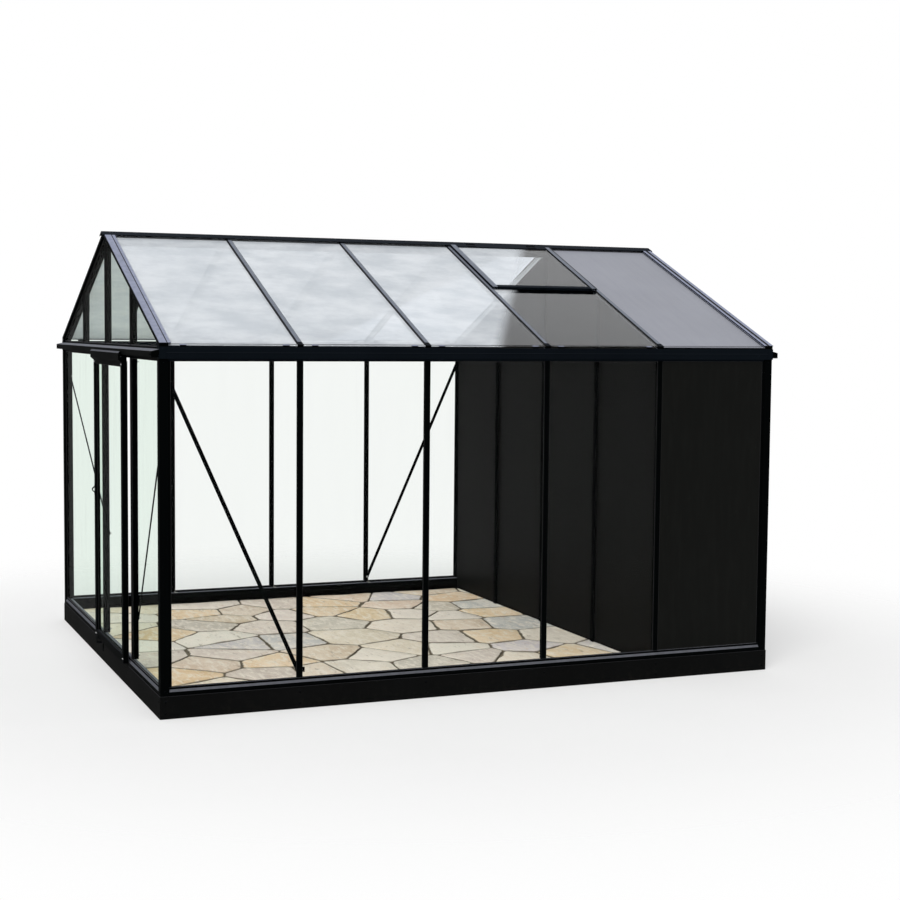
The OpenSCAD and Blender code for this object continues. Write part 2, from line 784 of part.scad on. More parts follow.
module door_guide() color(frame_color)
    on_door_end() translate([guide_u, 0, 0]) run_along(guide_w) {
        shelf = base_h - guide_step;
        out = leaf_out + guide_gap + guide_t;
        polygon([[-base_proud, base_h - guide_drop], [-base_proud, shelf], [guide_t - out, shelf],
            [guide_t - out, leaf_z0 + guide_lip], [-out, leaf_z0 + guide_lip], [-out, shelf - guide_t],
            [-base_proud - guide_t, shelf - guide_t], [-base_proud - guide_t, base_h - guide_drop]]);
    }

module door_stiles() color(frame_color) on_leaf() {
    linear_extrude(leaf_h) grooved_2d(stile_w, leaf_t, groove_d);
    translate([leaf_w, 0, 0]) mirror([1, 0, 0])
        linear_extrude(leaf_h) grooved_2d(stile_w, leaf_t, groove_d);
}

module door_rails() color(frame_color) on_leaf() translate([leaf_w / 2, 0, 0]) {
    run_along(leaf_w - 2 * stile_w) mirror([1, -1]) grooved_2d(foot_rail_h, leaf_t, groove_d);
    translate([0, 0, leaf_h]) mirror([0, 0, 1])
        run_along(leaf_w - 2 * stile_w) mirror([1, -1]) grooved_2d(rail_h, leaf_t, groove_d);
}

module door_glass() color(glass_color) on_leaf() {
    reach = groove_d - glass_edge;
    translate([stile_w - reach, (leaf_t - glass_t) / 2, foot_rail_h - reach])
        cube([leaf_w - 2 * (stile_w - reach), glass_t, leaf_h - rail_h - foot_rail_h + 2 * reach]);
}

module door_drip() color(frame_color) on_leaf() translate([leaf_w / 2, 0, leaf_h]) run_along(leaf_w) {
    face = leaf_out - track_w - drip_gap;
    polygon([[0, -drip_drop], [0, -drip_step], [face, -drip_step], [face, drip_rise],
        [face - drip_t, drip_rise - drip_slope], [face - drip_t, drip_t + face - drip_drop / 2],
        [-wall_t, -drip_drop]]);
}

module door_hangers() color(frame_color)
    on_leaf() for (side = [-1, 1]) translate([leaf_w / 2 + side * hanger_span / 2, leaf_t / 2, 0]) {
        rise = axle_z - leaf_z0;
        translate([-hanger_w / 2, -hanger_t / 2, leaf_h])
            cube([hanger_w, hanger_t, rise - leaf_h + hanger_rise]);
        translate([0, 0, rise]) rotate([90, 0, 0]) {
            cylinder(h = 2 * roller_off, r = axle_r, center = true, $fn = round_fn);
            for (v = [-1, 1]) translate([0, 0, v * roller_off])
                cylinder(h = roller_w, r = roller_r, center = true, $fn = round_fn);
        }
    }

module door_handle() color(frame_color)
    on_leaf() translate([stile_w / 2, 0, handle_z - leaf_z0]) run_along(strap_w) {
        h = handle_h / 2;
        polygon([[0, h + strap_foot], [-strap_t, h + strap_foot], [-strap_t, h],
            [-strap_out, h - strap_foot], [-strap_out, strap_foot - h], [-strap_t, -h],
            [-strap_t, -h - strap_foot], [0, -h - strap_foot], [0, -h + strap_t],
            [strap_t - strap_out, strap_foot + strap_t - h],
            [strap_t - strap_out, h - strap_foot - strap_t], [0, h - strap_t]]);
    }

stone_floor();
base_sides();
base_ends();
sill_sides();
sill_ends();
corner_posts();
front_posts();
back_posts();
door_jambs();
store_end_posts();
gutters();
door_end_transom();
store_end_transom();
ridge_bar();
front_rafters();
back_rafters();
door_end_verges();
store_end_verges();
door_end_mullions();
store_end_mullions();
front_glass();
back_glass();
door_end_glass();
door_end_top_glass();
front_roof_glass();
back_roof_glass();
vent_stiles();
vent_rails();
vent_glass();
vent_cross_bar();
store_wall_panels();
store_end_panels();
store_end_top_panels();
store_roof_panels();
partition_panels();
partition_posts();
wind_braces();
gusset_plates();
door_guide();
door_stiles();
door_rails();
door_glass();
door_drip();
door_hangers();
door_handle();
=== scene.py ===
import math
import random

import bmesh
import bpy
from mathutils import Matrix, Vector, noise


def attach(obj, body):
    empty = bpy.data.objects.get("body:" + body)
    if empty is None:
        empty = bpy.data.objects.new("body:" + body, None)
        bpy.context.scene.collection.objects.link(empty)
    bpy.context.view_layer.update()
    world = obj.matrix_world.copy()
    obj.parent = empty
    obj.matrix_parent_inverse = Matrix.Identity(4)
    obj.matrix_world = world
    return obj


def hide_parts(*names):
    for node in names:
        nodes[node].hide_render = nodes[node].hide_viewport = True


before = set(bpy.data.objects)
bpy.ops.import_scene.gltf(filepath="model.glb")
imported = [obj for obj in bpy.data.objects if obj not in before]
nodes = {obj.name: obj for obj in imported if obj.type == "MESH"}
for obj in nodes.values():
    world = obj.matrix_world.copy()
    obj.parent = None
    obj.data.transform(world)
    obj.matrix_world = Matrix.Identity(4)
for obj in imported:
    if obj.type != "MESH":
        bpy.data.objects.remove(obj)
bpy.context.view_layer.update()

# Sizes of the building's frame, in metres
HALF_L = 1.85
HALF_W = 1.55
PITCH = math.radians(22.5)
SIN, COS, TAN = math.sin(PITCH), math.cos(PITCH), math.tan(PITCH)
EAVE_Z = 1.948
RIDGE_Z = EAVE_Z + HALF_W * TAN
SLOPE = HALF_W / COS
POST = 0.048
BAR_HALF = 0.015
CORNER = 0.060
BAR_Z0, BAR_Z1 = 0.166, 1.870
TRANSOM_TOP = 1.942
BAY = (2 * HALF_L - CORNER) / 5
GABLE_BAY = (2 * HALF_W - CORNER) / 4
GLASS_T = 0.004
GLASS_OUT, GLASS_IN = -0.0123, -0.0163
WING = 0.052
VERGE_FIN = 0.0177
GUTTER_IN = 0.0523
LEAF_Y0, LEAF_Y1 = -0.736, 0.154
LEAF_Z0, LEAF_Z1 = 0.140, 1.880
LEAF_OUT, LEAF_REBATE = 0.034, 0.012
STILE, HEAD_RAIL, FOOT_RAIL = 0.045, 0.060, 0.046
JAMB_NEAR, JAMB_FAR = 0.760, -0.105
VENT_X = (0.373, 1.083)
VENT_S = (SLOPE - WING - 0.747, SLOPE - WING - 0.002)
VENT_N = 0.0076
VENT_BAR = 0.034
VENT_LAP = 0.028
FLOOR_H = 0.078

# View, fitted to the building's corners in the photo
EYE = Vector((-3.6328, -9.82, 2.0437))
AZIMUTH, ELEVATION, ROLL = (math.radians(v) for v in (-22.3573, 4.2509, -0.5191))
LENS, SENSOR = 64.863, 36.0
PHOTO_SIDE = 900
LEVEL = math.cos(ELEVATION)
behind = Vector(
    (math.sin(AZIMUTH) * LEVEL, -math.cos(AZIMUTH) * LEVEL, math.sin(ELEVATION))
)
level_axis = Vector((math.cos(AZIMUTH), math.sin(AZIMUTH), 0.0))
plumb_axis = behind.cross(level_axis)
side_axis = level_axis * math.cos(ROLL) - plumb_axis * math.sin(ROLL)
up_axis = level_axis * math.sin(ROLL) + plumb_axis * math.cos(ROLL)


def line_x(i):
    return -HALF_L + CORNER / 2 + i * BAY


def line_u(i):
    return -HALF_W + CORNER / 2 + i * GABLE_BAY


# Places on the walls and slopes: along, up, and out from the posts' face or the glass plane
def front(a, b, h):
    return Vector((a, -HALF_W - h, b))


def back(a, b, h):
    return Vector((a, HALF_W + h, b))


def door_end(a, b, h):
    return Vector((-HALF_L - h, -a, b))


def store_end(a, b, h):
    return Vector((HALF_L + h, -a, b))


def front_roof(a, b, h):
    return Vector((a, b * COS - h * SIN - HALF_W, EAVE_Z + b * SIN + h * COS))


def back_roof(a, b, h):
    p = front_roof(a, b, h)
    p.y = -p.y
    return p


# Nodes of a material
class Nodes:
    def __init__(self, name):
        self.material = bpy.data.materials.new(name)
        self.material.use_nodes = True
        self.tree = self.material.node_tree
        self.tree.nodes.clear()
        self.out = self.tree.nodes.new("ShaderNodeOutputMaterial")

    def add(self, kind, inputs=None, **props):
        n = self.tree.nodes.new(kind)
        for k, v in props.items():
            setattr(n, k, v)
        for k, v in (inputs or {}).items():
            if isinstance(v, bpy.types.NodeSocket):
                self.tree.links.new(v, n.inputs[k])
            else:
                n.inputs[k].default_value = v
        return n

    def math(self, operation, a, b=0.0, clamp=False):
        n = self.add("ShaderNodeMath", {0: a, 1: b}, operation=operation, use_clamp=clamp)
        return n.outputs[0]

    def ramp(self, value, low, high, to_low=0.0, to_high=1.0):
        span = {"From Min": low, "From Max": high, "To Min": to_low, "To Max": to_high}
        n = self.add(
            "ShaderNodeMapRange", {"Value": value, **span}, interpolation_type="SMOOTHSTEP"
        )
        return n.outputs["Result"]

    def mix(self, factor, a, b):
        n = self.add("ShaderNodeMix", data_type="RGBA")
        for socket, v in ((n.inputs[0], factor), (n.inputs[6], a), (n.inputs[7], b)):
            if isinstance(v, bpy.types.NodeSocket):
                self.tree.links.new(v, socket)
            else:
                socket.default_value = v if isinstance(v, float) else (*v, 1.0)
        return n.outputs[2]

    def place(self):
        return self.add("ShaderNodeTexCoord").outputs["Object"]

    def axis(self, letter):
        return self.add("ShaderNodeSeparateXYZ", {0: self.place()}).outputs[letter]

    def noise(self, scale, detail=3.0, rough=0.55, stretch=None):
        v = self.place()
        if stretch:
            v = self.add("ShaderNodeMapping", {"Vector": v, "Scale": stretch}).outputs[0]
        grain = {"Scale": scale, "Detail": detail, "Roughness": rough}
        return self.add("ShaderNodeTexNoise", {"Vector": v, **grain}).outputs["Fac"]

    def facing_up(self):
        g = self.add("ShaderNodeNewGeometry").outputs["Normal"]
        return self.add("ShaderNodeSeparateXYZ", {0: g}).outputs["Z"]

    def bump(self, height, strength, distance):
        inputs = {"Height": height, "Strength": strength, "Distance": distance}
        return self.add("ShaderNodeBump", inputs).outputs[0]

    def principled(self, **inputs):
        named = {k.replace("_", " "): v for k, v in inputs.items()}
        return self.add("ShaderNodeBsdfPrincipled", named)

    def blend(self, factor, a, b):
        return self.add("ShaderNodeMixShader", {0: factor, 1: a.outputs[0], 2: b.outputs[0]})

    def finish(self, shader):
        self.tree.links.new(shader.outputs[0], self.out.inputs["Surface"])
        return self.material


def path_ray(n, *kinds):
    path = n.add("ShaderNodeLightPath")
    value = path.outputs[kinds[0]]
    for k in kinds[1:]:
        value = n.math("MAXIMUM", value, path.outputs[k])
    return value


# Place of a rafter's painted shade line beside its bay line, lean of the edge of the roof's
# painted sky reflection, and soil colour
EDGE_LINE = -0.0115
REFLECTION_LEAN = 0.553
SPLASH = (0.30, 0.25, 0.19)


# Powder-coated bars: fine orange peel, and on faces that look at the sky a pale film that is
# partly dust and partly painted sky light.
# The back rafters' parts under the glass get a pale painted reflection of the sky in the roof
# glass.
# Along a rafter, on the side of the door, a dark line is painted shade: the sky light is left off
# there.
def coat(name, black, dust_and_sky_light, film, level=0.0006, glass_reflection_tint=None, shaded_edge=False):
    n = Nodes(name)
    patch = n.noise(2.2, 4.0)
    wear = n.noise(34.0, 5.0, 0.65)
    peel = n.noise(1100.0, 2.0)
    body = n.mix(patch, [c * 0.75 for c in black], [c * 1.35 for c in black])
    # Pale film on faces that look up: partly dust, partly painted sky light
    sky = n.math("MULTIPLY", n.ramp(n.facing_up(), 0.25, 0.9), film)
    sky = n.math("MULTIPLY", sky, n.ramp(wear, 0.2, 0.75, 0.72, 1.0))
    # Painted shade: a dark line along each rafter beside its bay line, where the painted sky light
    # is left off
    if shaded_edge:
        bays = n.math("DIVIDE", n.math("SUBTRACT", n.axis("X"), line_x(0)), BAY)
        off = n.math("MULTIPLY", n.math("SUBTRACT", bays, n.math("ROUND", bays)), BAY)
        from_line = n.math("ABSOLUTE", n.math("SUBTRACT", off, EDGE_LINE))
        sky = n.math("MULTIPLY", sky, n.ramp(from_line, 0.0035, 0.0065))
    low_down = n.ramp(n.axis("Z"), 0.12, 0.0)
    splash = n.math("MULTIPLY", low_down, n.ramp(wear, 0.45, 0.8, 0.0, 0.016))
    body = n.mix(sky, body, dust_and_sky_light)
    body = n.mix(splash, body, SPLASH)
    # Painted reflection: parts below the roof glass plane turn pale, as the sky's reflection in
    # the glass shows over them
    if glass_reflection_tint:
        slope = (0.0, SIN, COS)
        out = n.add("ShaderNodeVectorMath", {0: n.place(), 1: slope}, operation="DOT_PRODUCT")
        out = n.math("SUBTRACT", out.outputs["Value"], HALF_W * SIN + EAVE_Z * COS)
        body = n.mix(n.ramp(out, 0.002, -0.002), body, glass_reflection_tint)
    rough = n.math("ADD", n.ramp(patch, 0.2, 0.8, 0.36, 0.46), n.math("MULTIPLY", sky, 0.12))
    return n.finish(
        n.principled(
            Base_Color=body,
            Roughness=rough,
            Specular_IOR_Level=level,
            Normal=n.bump(peel, 0.12, 0.0004),
        )
    )


# Clear panes: thin streaks of dirt, light goes through them for shadows.
# The roof panes carry a painted sky reflection, laid as a pale diffuse haze, which stops on a
# slant before the store.
def glass(name, tint, ior, dirt, sky_reflection=0.0):
    n = Nodes(name)
    streak = n.noise(3.0, 5.0, 0.6, (6.0, 6.0, 0.7))
    film = n.ramp(streak, 0.42, 0.8, 0.0, dirt)
    colour = n.mix(film, tint, [c * 0.82 for c in tint])
    wave = n.noise(1.6, 1.0)
    pane = n.principled(
        Base_Color=colour,
        Roughness=0.012,
        IOR=ior,
        Transmission_Weight=1.0,
        Normal=n.bump(wave, 0.012, 0.004),
    )
    # Painted sky reflection on the roof panes: a pale diffuse layer seen by the eye, which stops
    # on a slant before the store
    if sky_reflection:
        cloud = n.noise(3.2, 5.0, 0.62, (1.0, 1.6, 1.6))
        in_from_eave = n.math("SUBTRACT", HALF_W, n.math("ABSOLUTE", n.axis("Y")))
        edge = n.math("SUBTRACT", n.axis("X"), n.math("MULTIPLY", in_from_eave, REFLECTION_LEAN))
        reflection_cloud = n.ramp(cloud, 0.25, 0.75, sky_reflection * 0.85, sky_reflection)
        amount = n.math("MULTIPLY", reflection_cloud, n.ramp(edge, 0.11, 0.0))
        tone = n.mix(n.ramp(cloud, 0.3, 0.7), (0.62, 0.66, 0.71), (0.80, 0.83, 0.87))
        sky_reflection_shader = n.add("ShaderNodeBsdfDiffuse", {"Color": tone})
        pane = n.blend(amount, pane, sky_reflection_shader)
    clear = n.add("ShaderNodeBsdfTransparent", {"Color": (0.985, 0.99, 0.985, 1.0)})
    return n.finish(n.blend(path_ray(n, "Is Shadow Ray", "Is Diffuse Ray"), pane, clear))


# Gloss-black closed panels: slight waviness of the sheet and dusty streaks
def gloss_panel(name, black, level, rough):
    n = Nodes(name)
    wave = n.noise(3.1, 2.0)
    dirt = n.noise(5.0, 5.0, 0.62, (7.0, 7.0, 0.8))
    fleck = n.noise(420.0, 2.0)
    film = n.ramp(dirt, 0.4, 0.8, 0.0, 0.006)
    colour = n.mix(film, black, (0.30, 0.31, 0.28))
    return n.finish(
        n.principled(
            Base_Color=colour,
            Roughness=n.ramp(dirt, 0.3, 0.8, rough, rough + 0.16),
            Specular_IOR_Level=level,
            Normal=n.bump(n.math("ADD", wave, n.math("MULTIPLY", fleck, 0.01)), 0.10, 0.006),
        )
    )


# Satin grey roof panels: a fine grain and faint run marks down the slope
def satin_panel(name, colour):
    n = Nodes(name)
    run = n.noise(4.0, 4.0, 0.6, (9.0, 0.8, 0.8))
    grain = n.noise(650.0, 2.0)
    patch = n.noise(1.7, 3.0)
    body = n.mix(n.ramp(patch, 0.3, 0.7), [c * 0.97 for c in colour], [c * 1.03 for c in colour])
    body = n.mix(n.ramp(run, 0.5, 0.85, 0.0, 0.05), body, [c * 0.85 for c in colour])
    return n.finish(
        n.principled(
            Base_Color=body,
            Roughness=n.ramp(run, 0.3, 0.8, 0.46, 0.58),
            Specular_IOR_Level=0.12,
            Normal=n.bump(grain, 0.10, 0.0004),
        )
    )


# Riven flagstones: each stone's own tone, clouded and veined, with a rough split face.
# The tone's alpha is how clear of soil the stone is, from its dark edge to its face.
def stone(name):
    n = Nodes(name)
    own = n.add("ShaderNodeAttribute", attribute_name="tone")
    tone, clean = own.outputs["Color"], own.outputs["Alpha"]
    cloud = n.noise(6.0, 5.0, 0.6, (1.0, 0.6, 1.0))
    grain = n.noise(85.0, 5.0, 0.7)
    vein = n.noise(13.0, 6.0, 0.7, (1.0, 0.5, 1.0))
    blotch = n.noise(26.0, 6.0, 0.68, (1.0, 0.32, 1.0))
    speck = n.noise(34.0, 6.0, 0.7, (1.0, 0.28, 1.0))
    dark = n.mix(0.13, tone, (0.24, 0.19, 0.14))
    pale = n.mix(0.45, tone, (0.98, 0.89, 0.77))
    body = n.mix(n.ramp(cloud, 0.32, 0.68), dark, pale)
    body = n.mix(n.ramp(vein, 0.56, 0.70, 0.0, 0.40), body, (0.72, 0.50, 0.29))
    body = n.mix(n.ramp(blotch, 0.48, 0.60, 0.0, 0.62), body, (0.98, 0.90, 0.79))
    body = n.mix(n.ramp(speck, 0.57, 0.70, 0.0, 0.60), body, (0.36, 0.29, 0.21))
    body = n.mix(n.ramp(grain, 0.54, 0.80, 0.0, 0.16), body, (0.26, 0.21, 0.16))
    body = n.mix(clean, (0.19, 0.16, 0.115), body)
    rough = n.ramp(cloud, 0.2, 0.8, 0.74, 0.92)
    relief = n.math("ADD", n.math("MULTIPLY", cloud, 0.8), n.math("MULTIPLY", grain, 0.35))
    return n.finish(
        n.principled(
            Base_Color=body,
            Roughness=rough,
            Specular_IOR_Level=0.2,
            Normal=n.bump(relief, 0.55, 0.009),
        )
    )


# Black rubber of gaskets and seals
def rubber(name):
    n = Nodes(name)
    patch = n.noise(60.0, 4.0)
    body = n.mix(patch, (0.006, 0.006, 0.006), (0.016, 0.016, 0.017))
    return n.finish(
        n.principled(
            Base_Color=body,
            Roughness=n.ramp(patch, 0.2, 0.8, 0.6, 0.8),
            Specular_IOR_Level=0.15,
            Normal=n.bump(n.noise(900.0, 2.0), 0.2, 0.0003),
        )
    )


# Zinc-plated steel: mottled plating with fine scratches
def zinc(name):
    n = Nodes(name)
    spangle = n.noise(140.0, 3.0)
    scratch = n.noise(60.0, 4.0, 0.7, (1.0, 1.0, 30.0))
    body = n.mix(spangle, (0.42, 0.43, 0.45), (0.62, 0.62, 0.62))
    return n.finish(
        n.principled(
            Base_Color=body,
            Metallic=1.0,
            Roughness=n.ramp(spangle, 0.2, 0.8, 0.30, 0.46),
            Normal=n.bump(scratch, 0.15, 0.0003),
        )
    )


BLACK = (0.0013, 0.0017, 0.0018)
# Dust colour and film of the coats below: partly dust, partly painted sky light on faces that look
# up, most of all on rafters, ledges and verges
DUST_AND_SKY_LIGHT = (0.30, 0.33, 0.40)
coat_plain = coat("coat_plain", BLACK, DUST_AND_SKY_LIGHT, 0.06)
coat_gutter = coat("coat_gutter", (0.0042, 0.0060, 0.0084), DUST_AND_SKY_LIGHT, 0.05)
coat_base = coat("coat_base", (0.0048, 0.0050, 0.0050), (0.10, 0.10, 0.11), 0.4)
RAFTER_BLACK = (0.005, 0.006, 0.009)
# Pale colour painted on the back rafters under the glass: a painted sky reflection
RAFTER_GLASS_REFLECTION = (0.74, 0.77, 0.80)
coat_rafter = coat("coat_rafter", RAFTER_BLACK, DUST_AND_SKY_LIGHT, 0.68, 0.02, shaded_edge=True)
coat_pale = coat("coat_pale", RAFTER_BLACK, DUST_AND_SKY_LIGHT, 0.68, 0.02, RAFTER_GLASS_REFLECTION)
coat_ledge = coat("coat_ledge", BLACK, (0.26, 0.27, 0.31), 0.8)
coat_verge = coat("coat_verge", BLACK, (0.325, 0.35, 0.46), 1.0)
glass_wall = glass("glass_wall", (0.952, 0.965, 0.954), 1.08, 0.05)
glass_gable = glass("glass_gable", (0.83, 0.91, 0.85), 1.008, 0.3)
glass_roof = glass("glass_roof", (0.86, 0.89, 0.925), 1.25, 0.3, 0.5)
panel_black = gloss_panel("panel_black", (0.0027, 0.0030, 0.0024), 0.06, 0.12)
panel_inner = gloss_panel("panel_inner", (0.0040, 0.0042, 0.0040), 0.012, 0.35)
panel_grey = satin_panel("panel_grey", (0.288, 0.297, 0.340))
stone_mat = stone("flagstone")
rubber_mat = rubber("rubber")
zinc_mat = zinc("zinc_plate")

LOOKS = {
    coat_plain: "corner_posts front_posts back_posts door_jambs store_end_posts door_end_mullions "
    "store_end_mullions vent_cross_bar partition_posts wind_braces gusset_plates door_guide "
    "door_stiles door_rails door_handle",
    coat_gutter: "gutters ridge_bar vent_rails",
    coat_base: "base_sides base_ends",
    coat_rafter: "front_rafters vent_stiles",
    coat_pale: "back_rafters",
    coat_ledge: "sill_sides sill_ends door_end_transom store_end_transom door_drip",
    coat_verge: "door_end_verges store_end_verges",
    glass_wall: "front_glass back_glass",
    glass_gable: "door_end_glass door_end_top_glass door_glass",
    glass_roof: "front_roof_glass back_roof_glass vent_glass",
    panel_black: "store_wall_panels store_end_panels store_end_top_panels",
    panel_inner: "partition_panels",
    panel_grey: "store_roof_panels",
    stone_mat: "stone_floor",
    zinc_mat: "door_hangers",
}
for look, names in LOOKS.items():
    for name in names.split():
        mesh = nodes[name].data
        mesh.materials.clear()
        mesh.materials.append(look)

# Soft edges on the bars, so that their arrises catch the light
COATS = (coat_plain, coat_gutter, coat_base, coat_rafter, coat_pale, coat_ledge, coat_verge)
BARS = [k for look in COATS for k in LOOKS[look].split()]
for name in BARS:
    weld = nodes[name].modifiers.new("weld", "WELD")
    weld.merge_threshold = 0.00002
    edge = nodes[name].modifiers.new("edge", "BEVEL")
    edge.width = 0.0006
    edge.segments = 1
    edge.limit_method = "ANGLE"
    edge.angle_limit = math.radians(40)


# How far each bolt's head is turned
bolt_turns = random.Random(5)


# A piece made of closed forms
class Piece:
    def __init__(self):
        self.bm = bmesh.new()

    def rings(self, rings, loop=False):
        made = [[self.bm.verts.new(p) for p in ring] for ring in rings]
        count = len(made[0])
        pairs = list(zip(made, made[1:]))
        if loop:
            pairs.append((made[-1], made[0]))
        for low, high in pairs:
            for i in range(count):
                j = (i + 1) % count
                self.bm.faces.new((low[i], low[j], high[j], high[i]))
        if not loop:
            self.bm.faces.new(made[0])
            self.bm.faces.new(list(reversed(made[-1])))
        return made

    def block(self, place, a, b, h, taper=0.0):
        def ring(level, t):
            return [
                place(a[0] + t, b[0] + t, level),
                place(a[1] - t, b[0] + t, level),
                place(a[1] - t, b[1] - t, level),
                place(a[0] + t, b[1] - t, level),
            ]

        step = min(0.0008, (h[1] - h[0]) / 3)
        self.rings([ring(h[0], 0.0), ring(h[1] - step, taper), ring(h[1], taper + step)])

    def sweep(self, outline, place, a0, a1):
        self.rings([[place(a, b, h) for b, h in outline] for a in (a0, a1)])

    def bead(self, place, corners, base, rise, width):
        section = ((0.0, 0.0), (0.0, 0.72), (0.35, 1.0), (0.75, 0.8), (1.0, 0.0))
        rings = []
        for t, k in section:
            rings.append([place(a, b, base + rise * k) for a, b in inset(corners, t * width)])
        self.rings(rings, loop=True)

    def turned(self, place, a, b, profile, sides=12, turn=0.0):
        rings = []
        for radius, level in profile:
            rings.append(
                [
                    place(
                        a + radius * math.cos(turn + 2 * math.pi * i / sides),
                        b + radius * math.sin(turn + 2 * math.pi * i / sides),
                        level,
                    )
                    for i in range(sides)
                ]
            )
        self.rings(rings)

    def screw(self, place, a, b, base, radius=0.005, rise=0.0022, out=1):
        steps = ((1.0, 0.0), (1.0, 0.25), (0.86, 0.68), (0.52, 0.95), (0.2, 1.0))
        self.turned(place, a, b, [(radius * r, base + out * rise * k) for r, k in steps])

    def bolt(self, place, a, b, base, out=1, size=0.0056):
        turn = bolt_turns.uniform(0.0, 1.0)
        washer = ((1.42, 0.0), (1.42, 0.0009), (1.3, 0.0013))
        head = ((0.98, 0.0013), (1.0, 0.0040), (0.86, 0.0048))
        stud = ((0.5, 0.0046), (0.5, 0.0085), (0.36, 0.0094))
        self.turned(place, a, b, [(size * r, base + out * k) for r, k in washer], 16)
        self.turned(place, a, b, [(size * r, base + out * k) for r, k in head], 6, turn)
        self.turned(place, a, b, [(size * r, base + out * k) for r, k in stud], 10)

    def make(self, name, look, body, slot, smooth=True):
        bmesh.ops.recalc_face_normals(self.bm, faces=self.bm.faces)
        mesh = bpy.data.meshes.new(name)
        self.bm.to_mesh(mesh)
        self.bm.free()
        mesh.materials.append(look)
        if smooth:
            mesh.shade_smooth()
            mesh.set_sharp_from_angle(angle=math.radians(38))
        piece = bpy.data.objects.new(name, mesh)
        bpy.context.scene.collection.objects.link(piece)
        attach(piece, body)
        return piece


# Moves a convex outline's edges inwards
def inset(corners, width):
    pts = [Vector(c) for c in corners]
    area = sum(p.x * q.y - q.x * p.y for p, q in zip(pts, pts[1:] + pts[:1]))
    side = 1 if area > 0 else -1
    lines = []
    for p, q in zip(pts, pts[1:] + pts[:1]):
        d = (q - p).normalized()
        lines.append((p + Vector((-d.y, d.x)) * width * side, d))
    out = []
    for (p, d), (q, e) in zip(lines[-1:] + lines[:-1], lines):
        cross = d.x * e.y - d.y * e.x
        t = ((q.x - p.x) * e.y - (q.y - p.y) * e.x) / cross
        out.append(p + d * t)
    return [(p.x, p.y) for p in out]


def rectangle(a0, a1, b0, b1):
    return [(a0, b0), (a1, b0), (a1, b1), (a0, b1)]


# Sides of the sight opening in a long wall's bay
def bay_sides(i):
    left = -HALF_L + CORNER if i == 0 else line_x(i) + BAR_HALF
    right = HALF_L - CORNER if i == 4 else line_x(i + 1) - BAR_HALF
    return left, right


# Height of the verges' lower edge over a gable
def under_verge(u):
    return EAVE_Z + (HALF_W - abs(u)) * TAN - VERGE_FIN / COS


# Outline of a gable's upper pane
def gable_top(i):
    reach = HALF_W - GUTTER_IN
    u0 = -reach if i == 0 else line_u(i) + BAR_HALF
    u1 = reach if i == 3 else line_u(i + 1) - BAR_HALF
    return [(u0, TRANSOM_TOP), (u1, TRANSOM_TOP), (u1, under_verge(u1)), (u0, under_verge(u0))]


# Gaskets round every pane, outside and inside
GASKET_RISE, GASKET_W = 0.0022, 0.0032


def gasket_pair(piece, place, corners, outer=GLASS_OUT, inner=GLASS_IN):
    piece.bead(place, corners, outer, GASKET_RISE, GASKET_W)
    piece.bead(place, corners, inner, -GASKET_RISE, GASKET_W)


wall_gaskets = Piece()
for i in range(5):
    for wall in (front, back):
        gasket_pair(wall_gaskets, wall, rectangle(*bay_sides(i), BAR_Z0, BAR_Z1))
gable_side = HALF_W - CORNER
gasket_pair(wall_gaskets, door_end, rectangle(JAMB_NEAR + BAR_HALF, gable_side, BAR_Z0, BAR_Z1))
gasket_pair(wall_gaskets, door_end, rectangle(-gable_side, JAMB_FAR - BAR_HALF, BAR_Z0, BAR_Z1))
for i in range(4):
    u0 = -gable_side if i == 0 else line_u(i) + BAR_HALF
    u1 = gable_side if i == 3 else line_u(i + 1) - BAR_HALF
    gasket_pair(wall_gaskets, store_end, rectangle(u0, u1, BAR_Z0, BAR_Z1))
    for wall in (door_end, store_end):
        gasket_pair(wall_gaskets, wall, gable_top(i))
wall_gaskets.make("wall_gaskets", rubber_mat, "frame", "frame_black")

ROOF_FOOT = 0.012
roof_gaskets = Piece()
for i in range(5):
    for slope in (front_roof, back_roof):
        head = VENT_S[0] + VENT_LAP if slope is front_roof and i == 3 else SLOPE - WING
        gasket_pair(roof_gaskets, slope, rectangle(*bay_sides(i), ROOF_FOOT, head), GLASS_T, 0.0)
vent_sight = inset(rectangle(*VENT_X, *VENT_S), VENT_BAR)
vent_pane = VENT_N + 0.006
gasket_pair(roof_gaskets, front_roof, vent_sight, vent_pane + GLASS_T, vent_pane)
roof_gaskets.make("roof_gaskets", rubber_mat, "frame", "frame_black")

door_gaskets = Piece()
leaf_sight = rectangle(
    -LEAF_Y1 + STILE, -LEAF_Y0 - STILE, LEAF_Z0 + FOOT_RAIL, LEAF_Z1 - HEAD_RAIL
)
leaf_pane = LEAF_OUT - LEAF_REBATE
gasket_pair(door_gaskets, door_end, leaf_sight, leaf_pane, leaf_pane - GLASS_T)
door_gaskets.make("door_gaskets", rubber_mat, "door", "frame_black")

